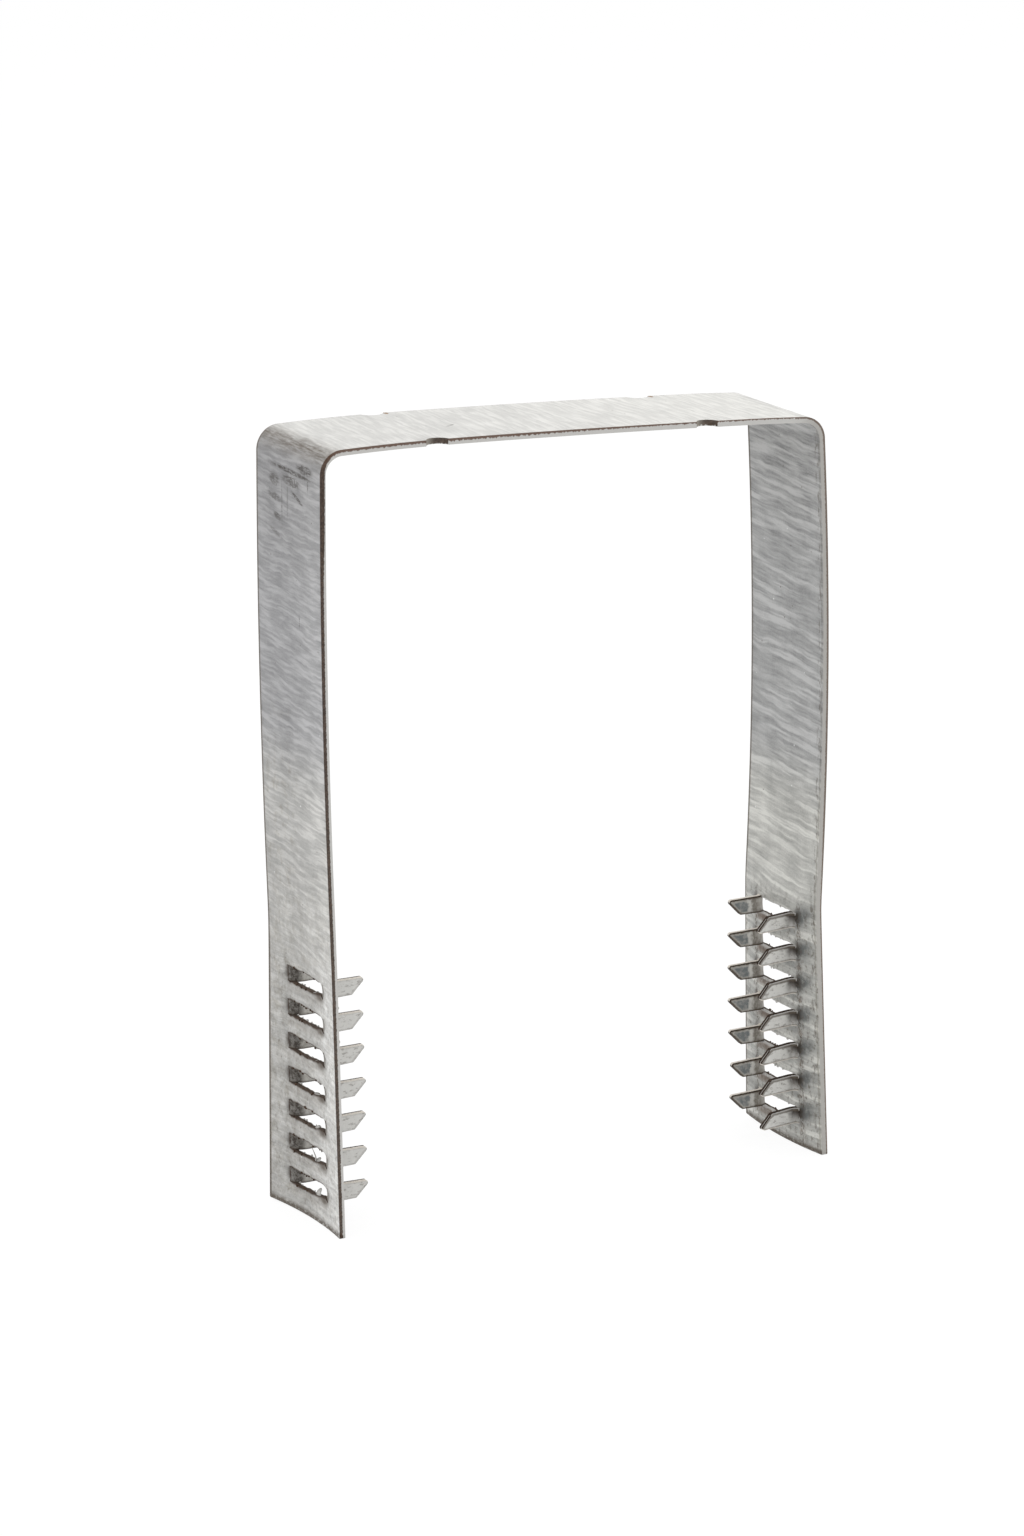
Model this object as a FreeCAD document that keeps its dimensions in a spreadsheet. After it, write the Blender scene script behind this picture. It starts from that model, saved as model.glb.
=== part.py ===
"""Stud tie: one galvanised steel strip folded over a timber plate, with punched teeth in both legs.

Frame: X runs across from leg to leg, Y along the strip's width (the front edge is -Y), Z is up.
The origin is midway between the legs, at the level of their ends. Millimetres.
"""
import FreeCAD, Part
import math
import os

import Sketcher

# Driving dimensions: alias, value, what it measures.
SIZES = [
    ("inside_width", 90.0, "clear width between the legs, which takes a 90 mm timber"),
    ("strip_width", 25.0, "width of the strip"),
    ("strip_thickness", 1.0, "thickness of the strip"),
    ("left_height", 131.5, "top face of the bar over the left leg's outer face"),
    ("right_height", 128.5, "top face of the bar over the right leg's outer face"),
    ("bend_radius", 3.0, "inside radius of the two folds"),
    ("left_bow", 0.5, "outward bow of the left leg"),
    ("right_bow", 1.0, "outward bow of the right leg"),
    ("knee_height", 52.0, "where the bow starts, above the toothed length"),
    ("flat_height", 50.0, "where the cupping of the toothed length has run out"),
    ("cupped_height", 44.0, "top of the evenly cupped length"),
    ("cup_depth", 1.0, "how far the strip's middle is pushed inward by the punching"),
    ("foot_margin", 4.0, "from the leg's end to the lowest slot"),
    ("slot_count", 7, "slots in each leg"),
    ("slot_pitch", 5.8, "from one slot to the next"),
    ("slot_height", 2.7, "height of a slot"),
    ("slot_length", 13.6, "length of a slot, from fold line to fold line"),
    ("shear_gap", 0.05, "how much a tooth is narrower than its slot, at each side"),
    ("root_radius", 1.0, "inside radius of a tooth's fold"),
    ("tooth_long", 7.3, "longer side of a tooth, from the leg's inner face"),
    ("tooth_short", 4.9, "shorter side of a tooth"),
    ("tooth_draft", 0.12, "how much a tooth narrows at each side, from root to tip"),
    ("tip_radius", 0.35, "rounding of the two corners of a tooth's tip"),
    ("notch_spacing", 49.2, "from notch to notch along the bar"),
    ("notch_radius", 2.1, "radius of a notch"),
    ("notch_depth", 1.5, "depth of a notch, from the strip's edge"),
    ("foot_corner_radius", 0.6, "rounding of the corners at the legs' ends"),
]

# Derived measures, as expressions in the driving dimensions.
OUTER_HALF = "(Sizes.inside_width / 2 + Sizes.strip_thickness)"
HALF_WIDTH = "(Sizes.strip_width / 2)"
HALF_SLOT = "(Sizes.slot_length / 2)"
CUP_RADIUS = "((Sizes.strip_width ^ 2 / 4 + Sizes.cup_depth ^ 2) / (2 * Sizes.cup_depth))"
CUP_AT_FOLD = f"(Sizes.cup_depth - {CUP_RADIUS} + sqrt({CUP_RADIUS} ^ 2 - {HALF_SLOT} ^ 2))"
FOLD_OUTER_X = f"(-{OUTER_HALF} + {CUP_AT_FOLD})"
FOLD_INNER_X = f"({FOLD_OUTER_X} + Sizes.strip_thickness)"
FOLD_AXIS_X = f"({FOLD_INNER_X} + Sizes.root_radius)"
TOOTH_LOW = "(Sizes.foot_margin + Sizes.shear_gap)"
TOOTH_HIGH = "(Sizes.foot_margin + Sizes.slot_height - Sizes.shear_gap)"
NOTCH_CENTRE_Y = f"({HALF_WIDTH} + Sizes.notch_radius - Sizes.notch_depth)"
SLOT_RUN = "Sizes.slot_pitch * (Sizes.slot_count - 1)"

FRONT, BACK = -1, 1
LEAST_CHANGE = 1e-3  # cubic millimetres
POINT_TOLERANCE = 1e-6
SOLVE_ROUNDS = 30


def make_sheet(doc):
    """Put the driving dimensions in a sheet, one row each."""
    sheet = doc.addObject("Spreadsheet::Sheet", "Sizes")
    for row, (alias, value, note) in enumerate(SIZES, start=1):
        sheet.set(f"A{row}", note)
        sheet.set(f"B{row}", str(value))
        sheet.setAlias(f"B{row}", alias)
    doc.recompute()
    return sheet


def origin_plane(body, role):
    """The body's own origin plane with this role."""
    return next(item for item in body.Origin.OriginFeatures if item.Role == role)


def new_sketch(body, name, role, offset="0"):
    """A sketch on an origin plane, moved along the plane's normal by an expression."""
    sketch = body.newObject("Sketcher::SketchObject", name)
    sketch.AttachmentSupport = [(origin_plane(body, role), "")]
    sketch.MapMode = "FlatFace"
    sketch.setExpression("AttachmentOffset.Base.z", offset)
    body.Document.recompute()
    return sketch


def number(sketch, expression):
    """The value of an expression in the sheet's terms."""
    return float(sketch.evalExpression(expression))


def vector(sketch, corner):
    """The point that a pair of expressions gives."""
    return FreeCAD.Vector(number(sketch, corner[0]), number(sketch, corner[1]), 0)


def bind(sketch, kind, parts, expression):
    """Add a dimension and tie it to an expression."""
    index = sketch.addConstraint(Sketcher.Constraint(kind, *parts, number(sketch, expression)))
    sketch.setExpression(f"Constraints[{index}]", expression)


def place(sketch, geometry, position, corner):
    """Fix a point of a sketch by its two coordinates, measured from the sketch's origin."""
    bind(sketch, "DistanceX", (-1, 1, geometry, position), corner[0])
    bind(sketch, "DistanceY", (-1, 1, geometry, position), corner[1])


def line_directions(points):
    """Unit vectors along the sides of an outline, each from its corner to the next."""
    return [(end - start).normalize() for start, end in zip(points, points[1:] + points[:1])]


def draw_outline(sketch, corners):
    """A closed outline of straight lines, with its corners given as expressions.

    A corner is (x, y), or (x, y, radius) where it is rounded.
    """
    points = [vector(sketch, corner) for corner in corners]
    ways = line_directions(points)
    starts, ends, arcs = list(points), points[1:] + points[:1], {}
    for index, corner in enumerate(corners):
        if len(corner) == 3:
            arcs[index] = corner_arc(points[index], ways[index - 1], ways[index], number(sketch, corner[2]))
            starts[index] = arcs[index][2]
            ends[index - 1] = arcs[index][1]
    lines = [sketch.addGeometry(Part.LineSegment(start, end), False) for start, end in zip(starts, ends)]
    for index, corner in enumerate(corners):
        if index in arcs:
            round_corner(sketch, lines[index - 1], lines[index], arcs[index][0], corner)
        else:
            sketch.addConstraint(Sketcher.Constraint("Coincident", lines[index - 1], 2, lines[index], 1))
            place(sketch, lines[index], 1, corner)


def corner_arc(point, way_in, way_out, radius):
    """The arc that rounds a corner, with the points where it leaves both sides."""
    turn = math.atan2(way_in.x * way_out.y - way_in.y * way_out.x, way_in.dot(way_out))
    cut = radius * math.tan(abs(turn) / 2)
    first, last = point - way_in * cut, point + way_out * cut
    side = math.copysign(1, turn)
    centre = first + FreeCAD.Vector(-way_in.y, way_in.x, 0) * radius * side
    arc = arc_about(centre, radius, first, last) if side > 0 else arc_about(centre, radius, last, first)
    return arc, first, last


def round_corner(sketch, before, after, shape, corner):
    """Join two lines by an arc, and fix the sharp corner that it rounds."""
    arc = sketch.addGeometry(shape, False)
    near = 1 if (shape.StartPoint - sketch.getPoint(before, 2)).Length < POINT_TOLERANCE else 2
    sketch.addConstraint(Sketcher.Constraint("Tangent", before, 2, arc, near))
    sketch.addConstraint(Sketcher.Constraint("Tangent", arc, 3 - near, after, 1))
    bind(sketch, "Radius", (arc,), corner[2])
    sharp = sketch.addGeometry(Part.Point(vector(sketch, corner)), True)
    sketch.addConstraint(Sketcher.Constraint("PointOnObject", sharp, 1, before))
    sketch.addConstraint(Sketcher.Constraint("PointOnObject", sharp, 1, after))
    place(sketch, sharp, 1, corner)


def arc_about(centre, radius, start, end):
    """A circular arc, counterclockwise from one point to the other."""
    circle = Part.Circle(centre, FreeCAD.Vector(0, 0, 1), radius)
    angle = [math.atan2(point.y - centre.y, point.x - centre.x) for point in (start, end)]
    return Part.ArcOfCircle(circle, angle[0], angle[1])


def leg_arc(half, knee, height, slope, bow, radius):
    """The outer arc of a leg at +X: its centre, its radius and the centre of the fold above it.

    The arc starts at the knee and ends at the same X, where the fold's arc takes over. Its upper end is
    moved until the fold just touches the bar's top line.
    """
    top = height - radius
    for _ in range(SOLVE_ROUNDS):
        chord = top - knee
        big = (chord ** 2 / 4 + bow ** 2) / (2 * bow)
        centre = FreeCAD.Vector(half + bow - big, knee + chord / 2, 0)
        fold = centre + (FreeCAD.Vector(half, top, 0) - centre) * ((big - radius) / big)
        line_height = height + (half - fold.x) * math.tan(slope)
        top += (line_height - fold.y) * math.cos(slope) - radius
    return centre, big, fold


def leg_points(leg, half, inset):
    """The knee and the upper end of a leg's arc at +X, on the outer face or a thickness inside it."""
    centre, big, fold = leg
    radius, side = big - inset, half - inset
    knee = FreeCAD.Vector(side, centre.y - math.sqrt(radius ** 2 - (side - centre.x) ** 2), 0)
    return knee, centre + (fold - centre).normalize() * radius


def flipped(point):
    """A point mirrored from one side of the strip to the other."""
    return FreeCAD.Vector(-point.x, point.y, point.z)


def saddle_chain(value, half, inset):
    """One side of the folded strip, from the left leg's side line over the bar to the right leg's."""
    radius = value["bend_radius"] + value["strip_thickness"]
    slope = math.atan2(value["left_height"] - value["right_height"], 2 * half)
    right = leg_arc(half, value["knee_height"], value["right_height"], slope, value["right_bow"], radius)
    left = leg_arc(half, value["knee_height"], value["left_height"], -slope, value["left_bow"], radius)
    right_knee, right_end = leg_points(right, half, inset)
    left_knee, left_end = (flipped(point) for point in leg_points(left, half, inset))
    left_fold, right_fold = flipped(left[2]), right[2]
    rise = FreeCAD.Vector(math.sin(slope), math.cos(slope), 0) * (radius - inset)
    bar_left, bar_right = left_fold + rise, right_fold + rise
    drop = value["flat_height"]
    return [
        Part.LineSegment(FreeCAD.Vector(left_knee.x, drop, 0), left_knee),
        arc_about(flipped(left[0]), left[1] - inset, left_end, left_knee),
        arc_about(left_fold, radius - inset, bar_left, left_end),
        Part.LineSegment(bar_left, bar_right),
        arc_about(right_fold, radius - inset, right_end, bar_right),
        arc_about(right[0], right[1] - inset, right_knee, right_end),
        Part.LineSegment(right_knee, FreeCAD.Vector(right_knee.x, drop, 0)),
    ]


def draw_saddle(sketch):
    """The side view of the folded strip above its toothed length, outer side first, then the inner."""
    value = {alias: number(sketch, f"Sizes.{alias}") for alias, _, _ in SIZES}
    half = number(sketch, OUTER_HALF)
    outer = saddle_chain(value, half, 0)
    inner = saddle_chain(value, half, value["strip_thickness"])
    ends = [
        Part.LineSegment(outer[0].StartPoint, inner[0].StartPoint),
        Part.LineSegment(outer[6].EndPoint, inner[6].EndPoint),
    ]
    for shape in outer + inner + ends:
        sketch.addGeometry(shape, False)
    top_line = Part.LineSegment(
        FreeCAD.Vector(-half, value["left_height"], 0), FreeCAD.Vector(half, value["right_height"], 0))
    left_apex = outer[1].Center - FreeCAD.Vector(outer[1].Radius, 0, 0)
    right_apex = outer[5].Center + FreeCAD.Vector(outer[5].Radius, 0, 0)
    for shape in (top_line, Part.Point(left_apex), Part.Point(right_apex)):
        sketch.addGeometry(shape, True)


def join_chain(sketch, first):
    """Join the seven pieces of one side of the strip: sides upright, folds tangent to legs and bar."""
    side_left, leg_left, fold_left, bar, fold_right, leg_right, side_right = range(first, first + 7)
    joints = [
        ("Coincident", side_left, 2, leg_left, 2),
        ("Tangent", leg_left, 1, fold_left, 2),
        ("Tangent", fold_left, 1, bar, 1),
        ("Tangent", bar, 2, fold_right, 2),
        ("Tangent", fold_right, 1, leg_right, 2),
        ("Coincident", leg_right, 1, side_right, 1),
        ("Vertical", side_left),
        ("Vertical", side_right),
    ]
    for joint in joints:
        sketch.addConstraint(Sketcher.Constraint(*joint))


def fix_saddle(sketch):
    """Constrain the saddle's two sides: bowed legs, a sloping bar, one thickness between the sides."""
    side_left, leg_left, fold_left, bar, fold_right, leg_right, side_right = range(7)
    inner = side_right + 1
    end_left, end_right, top_line, apex_left, apex_right = range(2 * inner, 2 * inner + 5)
    join_chain(sketch, 0)
    join_chain(sketch, inner)
    joints = [
        ("Coincident", end_left, 1, side_left, 1),
        ("Coincident", end_left, 2, inner + side_left, 1),
        ("Coincident", end_right, 1, side_right, 2),
        ("Coincident", end_right, 2, inner + side_right, 2),
        ("Horizontal", end_left),
        ("Horizontal", end_right),
        ("Vertical", leg_left, 1, leg_left, 2),
        ("Vertical", leg_right, 1, leg_right, 2),
        ("PointOnObject", bar, 1, top_line),
        ("PointOnObject", bar, 2, top_line),
        ("PointOnObject", apex_left, 1, leg_left),
        ("PointOnObject", apex_right, 1, leg_right),
        ("Horizontal", apex_left, 1, leg_left, 3),
        ("Horizontal", apex_right, 1, leg_right, 3),
        ("Equal", inner + fold_left, inner + fold_right),
    ]
    joints += [("Coincident", arc, 3, inner + arc, 3) for arc in (leg_left, fold_left, fold_right, leg_right)]
    for joint in joints:
        sketch.addConstraint(Sketcher.Constraint(*joint))
    place(sketch, end_left, 1, (f"-{OUTER_HALF}", "Sizes.flat_height"))
    place(sketch, end_right, 1, (OUTER_HALF, "Sizes.flat_height"))
    bind(sketch, "DistanceX", (end_left, 1, end_left, 2), "Sizes.strip_thickness")
    bind(sketch, "DistanceX", (end_right, 2, end_right, 1), "Sizes.strip_thickness")
    bind(sketch, "DistanceY", (-1, 1, side_left, 2), "Sizes.knee_height")
    bind(sketch, "DistanceY", (-1, 1, side_right, 1), "Sizes.knee_height")
    bind(sketch, "Radius", (fold_left,), "Sizes.bend_radius + Sizes.strip_thickness")
    bind(sketch, "Radius", (fold_right,), "Sizes.bend_radius + Sizes.strip_thickness")
    bind(sketch, "Radius", (inner + fold_left,), "Sizes.bend_radius")
    place(sketch, top_line, 1, (f"-{OUTER_HALF}", "Sizes.left_height"))
    place(sketch, top_line, 2, (OUTER_HALF, "Sizes.right_height"))
    bind(sketch, "DistanceX", (apex_left, 1, side_left, 2), "Sizes.left_bow")
    bind(sketch, "DistanceX", (side_right, 1, apex_right, 1), "Sizes.right_bow")


def finish(body, feature):
    """Recompute, make the feature the body's tip, and stop if it failed or changed nothing."""
    body.Tip = feature
    body.Document.recompute()
    if "Invalid" in feature.State or "Error" in feature.State or feature.Shape.isNull():
        raise RuntimeError(f"{feature.Name} failed: {feature.State}")
    base = feature.BaseFeature
    if base is not None and abs(feature.Shape.Volume - base.Shape.Volume) < LEAST_CHANGE:
        raise RuntimeError(f"{feature.Name} changed nothing")
    return feature


def make_saddle(body):
    """The bar and both legs down to the toothed length."""
    sketch = new_sketch(body, "SaddleProfile", "XZ_Plane")
    draw_saddle(sketch)
    fix_saddle(sketch)
    saddle = body.newObject("PartDesign::Pad", "Saddle")
    saddle.Profile = sketch
    saddle.SideType = "Symmetric"
    saddle.setExpression("Length", "Sizes.strip_width")
    return finish(body, saddle)


def draw_section(sketch, cupped):
    """The left leg's section: the strip seen from above, flat or with its middle pushed inward."""
    outer, inner = f"(-{OUTER_HALF})", "(-Sizes.inside_width / 2)"
    corners = [(outer, f"-{HALF_WIDTH}"), (inner, f"-{HALF_WIDTH}"), (inner, HALF_WIDTH), (outer, HALF_WIDTH)]
    points = [vector(sketch, corner) for corner in corners]
    if cupped:
        radius = number(sketch, CUP_RADIUS)
        sag = FreeCAD.Vector(number(sketch, "Sizes.cup_depth") - radius, 0, 0)
        inner_side = arc_about((points[1] + points[2]) / 2 + sag, radius, points[1], points[2])
        outer_side = arc_about((points[0] + points[3]) / 2 + sag, radius, points[0], points[3])
    else:
        inner_side = Part.LineSegment(points[1], points[2])
        outer_side = Part.LineSegment(points[0], points[3])
    front = sketch.addGeometry(Part.LineSegment(points[0], points[1]), False)
    inside = sketch.addGeometry(inner_side, False)
    back = sketch.addGeometry(Part.LineSegment(points[2], points[3]), False)
    outside = sketch.addGeometry(outer_side, False)
    sketch.addConstraint(Sketcher.Constraint("Coincident", front, 2, inside, 1))
    sketch.addConstraint(Sketcher.Constraint("Coincident", inside, 2, back, 1))
    sketch.addConstraint(Sketcher.Constraint("Coincident", back, 2, outside, 2))
    sketch.addConstraint(Sketcher.Constraint("Coincident", outside, 1, front, 1))
    for line, position, corner in zip((front, front, back, back), (1, 2, 1, 2), corners):
        place(sketch, line, position, corner)
    if cupped:
        bind(sketch, "Radius", (inside,), CUP_RADIUS)
        bind(sketch, "Radius", (outside,), CUP_RADIUS)


def make_feet(body):
    """The toothed lengths of both legs: a short run where the cupping starts, then an even section."""
    flat = new_sketch(body, "FlatSection", "XY_Plane", "Sizes.flat_height")
    draw_section(flat, False)
    cupped = new_sketch(body, "CuppedSection", "XY_Plane", "Sizes.cupped_height")
    draw_section(cupped, True)
    run = body.newObject("PartDesign::AdditiveLoft", "CuppingRun")
    run.Profile = flat
    run.Sections = [cupped]
    finish(body, run)
    foot = body.newObject("PartDesign::Pad", "Foot")
    foot.Profile = cupped
    foot.Reversed = True
    foot.setExpression("Length", "Sizes.cupped_height")
    finish(body, foot)
    pair = body.newObject("PartDesign::PolarPattern", "BothFeet")
    pair.Originals = [run, foot]
    pair.Axis = (cupped, ["N_Axis"])
    pair.Angle = 360
    pair.Occurrences = 2
    return finish(body, pair)


def make_slots(body):
    """The slots, cut through both legs at once."""
    sketch = new_sketch(body, "SlotOutline", "YZ_Plane")
    low, high = "Sizes.foot_margin", "Sizes.foot_margin + Sizes.slot_height"
    front, back = f"-{HALF_SLOT}", HALF_SLOT
    draw_outline(sketch, [(front, low), (back, low), (back, high), (front, high)])
    slot = body.newObject("PartDesign::Pocket", "Slot")
    slot.Profile = sketch
    slot.SideType = "Symmetric"
    slot.Type = "Length"
    slot.setExpression("Length", f"4 * {OUTER_HALF}")
    finish(body, slot)
    row = body.newObject("PartDesign::LinearPattern", "SlotRow")
    row.Originals = [slot]
    row.Direction = (sketch, ["V_Axis"])
    row.Mode = "Extent"
    row.setExpression("Length", SLOT_RUN)
    row.setExpression("Occurrences", "Sizes.slot_count")
    return finish(body, row)


def make_tooth_root(body, name, side):
    """The quarter fold at a slot's end: the strip's section turned about an upright axis."""
    sketch = new_sketch(body, f"{name}RootOutline", "XZ_Plane", f"{-side} * {HALF_SLOT}")
    outer, inner = FOLD_OUTER_X, FOLD_INNER_X
    draw_outline(sketch, [(outer, TOOTH_LOW), (inner, TOOTH_LOW), (inner, TOOTH_HIGH), (outer, TOOTH_HIGH)])
    ends = [(FOLD_AXIS_X, TOOTH_LOW), (FOLD_AXIS_X, TOOTH_HIGH)]
    axis = sketch.addGeometry(Part.LineSegment(*(vector(sketch, end) for end in ends)), True)
    place(sketch, axis, 1, ends[0])
    place(sketch, axis, 2, ends[1])
    root = body.newObject("PartDesign::Revolution", f"{name}Root")
    root.Profile = sketch
    root.ReferenceAxis = (sketch, ["Axis0"])
    root.Angle = 90
    root.Reversed = side == FRONT
    return finish(body, root)


def make_tooth_blade(body, name, side, lower_reach, upper_reach):
    """The flat of a tooth: square to the leg, narrowing a little, with a slanted, rounded tip."""
    face_offset = f"{-side} * ({HALF_SLOT} - Sizes.root_radius)"
    sketch = new_sketch(body, f"{name}BladeOutline", "XZ_Plane", face_offset)
    low_tip = (f"{FOLD_INNER_X} + {lower_reach}", f"{TOOTH_LOW} + Sizes.tooth_draft", "Sizes.tip_radius")
    high_tip = (f"{FOLD_INNER_X} + {upper_reach}", f"{TOOTH_HIGH} - Sizes.tooth_draft", "Sizes.tip_radius")
    draw_outline(sketch, [(FOLD_AXIS_X, TOOTH_LOW), low_tip, high_tip, (FOLD_AXIS_X, TOOTH_HIGH)])
    blade = body.newObject("PartDesign::Pad", f"{name}Blade")
    blade.Profile = sketch
    blade.Reversed = side == FRONT
    blade.setExpression("Length", "Sizes.strip_thickness")
    return finish(body, blade)


def make_tooth(body, name, side, lower_reach, upper_reach):
    """One tooth of the left leg, folded inward at one end of its slot."""
    root = make_tooth_root(body, name, side)
    return root, make_tooth_blade(body, name, side, lower_reach, upper_reach)


def make_teeth(body):
    """All teeth: the left leg's lowest pair, repeated up the leg and turned over to the other leg."""
    front = make_tooth(body, "FrontTooth", FRONT, "Sizes.tooth_short", "Sizes.tooth_long")
    back = make_tooth(body, "BackTooth", BACK, "Sizes.tooth_long", "Sizes.tooth_short")
    rows = body.newObject("PartDesign::MultiTransform", "ToothRows")
    rows.Originals = [*front, *back]
    sketch = front[1].Profile[0]
    column = body.newObject("PartDesign::LinearPattern", "ToothColumn")
    column.Direction = (sketch, ["V_Axis"])
    column.Mode = "Extent"
    column.setExpression("Length", SLOT_RUN)
    column.setExpression("Occurrences", "Sizes.slot_count")
    turn = body.newObject("PartDesign::PolarPattern", "ToothTurn")
    turn.Axis = (origin_axis(body, "Z_Axis"), [""])
    turn.Angle = 360
    turn.Occurrences = 2
    rows.Transformations = [column, turn]
    return finish(body, rows)


def origin_axis(body, role):
    """The body's own origin axis with this role."""
    return next(item for item in body.Origin.OriginFeatures if item.Role == role)


def make_notches(body):
    """The four half-round notches in the bar's edges."""
    sketch = new_sketch(body, "NotchCircle", "XY_Plane")
    centre = ("-Sizes.notch_spacing / 2", f"-{NOTCH_CENTRE_Y}")
    shape = Part.Circle(vector(sketch, centre), FreeCAD.Vector(0, 0, 1), number(sketch, "Sizes.notch_radius"))
    circle = sketch.addGeometry(shape, False)
    bind(sketch, "Radius", (circle,), "Sizes.notch_radius")
    place(sketch, circle, 3, centre)
    notch = body.newObject("PartDesign::Pocket", "Notch")
    notch.Profile = sketch
    notch.Reversed = True
    notch.Type = "ThroughAll"
    finish(body, notch)
    four = body.newObject("PartDesign::LinearPattern", "FourNotches")
    four.Originals = [notch]
    four.Direction = (sketch, ["H_Axis"])
    four.Mode = "Extent"
    four.setExpression("Length", "Sizes.notch_spacing")
    four.Occurrences = 2
    four.Direction2 = (sketch, ["V_Axis"])
    four.Mode2 = "Extent"
    four.setExpression("Length2", f"2 * {NOTCH_CENTRE_Y}")
    four.Occurrences2 = 2
    return finish(body, four)


def is_foot_corner(edge, half_width):
    """Whether an edge runs through the thickness at an outer corner of a leg's end."""
    first, last = edge.Vertexes[0].Point, edge.Vertexes[-1].Point
    at_end = max(abs(first.z), abs(last.z)) < POINT_TOLERANCE
    through = abs(first.y - last.y) < POINT_TOLERANCE
    return at_end and through and abs(abs(first.y) - half_width) < POINT_TOLERANCE


def round_foot_corners(body, last):
    """Round the four outer corners at the legs' ends."""
    half_width = last.Shape.BoundBox.YMax
    edges = [f"Edge{index}" for index, edge in enumerate(last.Shape.Edges, start=1)
             if is_foot_corner(edge, half_width)]
    corners = body.newObject("PartDesign::Fillet", "FootCorners")
    corners.Base = (last, edges)
    corners.setExpression("Radius", "Sizes.foot_corner_radius")
    return finish(body, corners)


def main():
    """Build the strip, check it and write it out."""
    doc = FreeCAD.newDocument("StudTie")
    make_sheet(doc)
    body = doc.addObject("PartDesign::Body", "TieStrap")
    body.Label = "tie_strap"
    body.Placement = FreeCAD.Placement()
    make_saddle(body)
    make_feet(body)
    make_slots(body)
    make_teeth(body)
    last = make_notches(body)
    round_foot_corners(body, last)
    doc.recompute()
    for item in doc.Objects:
        if "Invalid" in item.State or "Error" in item.State:
            raise RuntimeError(f"{item.Label}: {item.State}")
    shape = body.Shape
    if shape.isNull() or not shape.isValid() or len(shape.Solids) != 1:
        raise RuntimeError("the strip isn't one valid solid")
    os.makedirs("parts", exist_ok=True)
    shape.exportStep("parts/tie_strap.step")


main()
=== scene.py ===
"""Stud tie: the dressed steel strip and the white studio that shows it.

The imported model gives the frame: +X from the left leg to the right leg, -Y towards the strip's front
edge, +Z up towards the bar, metres. The strip is drawn flat, as the blank that the press cuts, and
Geometry Nodes fold it along its path and repeat its teeth.
"""
import logging
import math
import random
from dataclasses import dataclass, field
from enum import Enum
from typing import Any, Sequence

import bmesh
import bpy
from mathutils import Matrix, Vector


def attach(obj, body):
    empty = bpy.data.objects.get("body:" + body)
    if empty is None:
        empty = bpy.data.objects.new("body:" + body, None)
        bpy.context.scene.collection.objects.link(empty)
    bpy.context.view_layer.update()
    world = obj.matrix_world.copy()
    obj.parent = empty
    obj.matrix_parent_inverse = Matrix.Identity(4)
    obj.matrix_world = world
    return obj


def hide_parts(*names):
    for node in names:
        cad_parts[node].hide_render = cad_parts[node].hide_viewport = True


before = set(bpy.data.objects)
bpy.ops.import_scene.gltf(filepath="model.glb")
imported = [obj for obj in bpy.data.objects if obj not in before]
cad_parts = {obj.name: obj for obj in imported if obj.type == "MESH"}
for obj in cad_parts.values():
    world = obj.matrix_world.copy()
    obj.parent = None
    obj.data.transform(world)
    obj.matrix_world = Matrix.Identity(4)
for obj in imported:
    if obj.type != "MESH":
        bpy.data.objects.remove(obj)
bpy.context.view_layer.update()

LOG = logging.getLogger("stud_tie")
MM = 0.001
SOCKET_KINDS = {
    float: "NodeSocketFloat",
    int: "NodeSocketInt",
    bpy.types.Object: "NodeSocketObject",
    bpy.types.Material: "NodeSocketMaterial",
}

Value = Any
Triple = tuple[float, float, float]


class Side(Enum):
    """The two legs, as the photograph shows them. The value is the leg's sign along X."""

    LEFT = -1
    RIGHT = 1


@dataclass(frozen=True)
class LegShape:
    """How one leg departs from a straight, square one, as measured in the photograph. Metres, radians."""

    foot_out: float
    knee_out: float
    head_out: float
    knee_height: float
    bow: float
    dip: float
    dip_span: float
    foot_twist: float
    foot_cut: float
    slot_lift: float
    knee_round: float = 0.1 * MM


LEFT_SHAPE = LegShape(
    foot_out=0.2 * MM, knee_out=-0.08 * MM, head_out=0.0, knee_height=49.0 * MM, bow=0.5 * MM,
    dip=0.6 * MM, dip_span=24.0 * MM, foot_twist=math.radians(2.7), foot_cut=0.3 * MM, slot_lift=0.45 * MM)
RIGHT_SHAPE = LegShape(
    foot_out=0.05 * MM, knee_out=-0.6 * MM, head_out=-0.05 * MM, knee_height=44.0 * MM, bow=1.17 * MM,
    dip=0.25 * MM, dip_span=12.0 * MM, foot_twist=math.radians(2.1), foot_cut=0.85 * MM, slot_lift=0.35 * MM)


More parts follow.
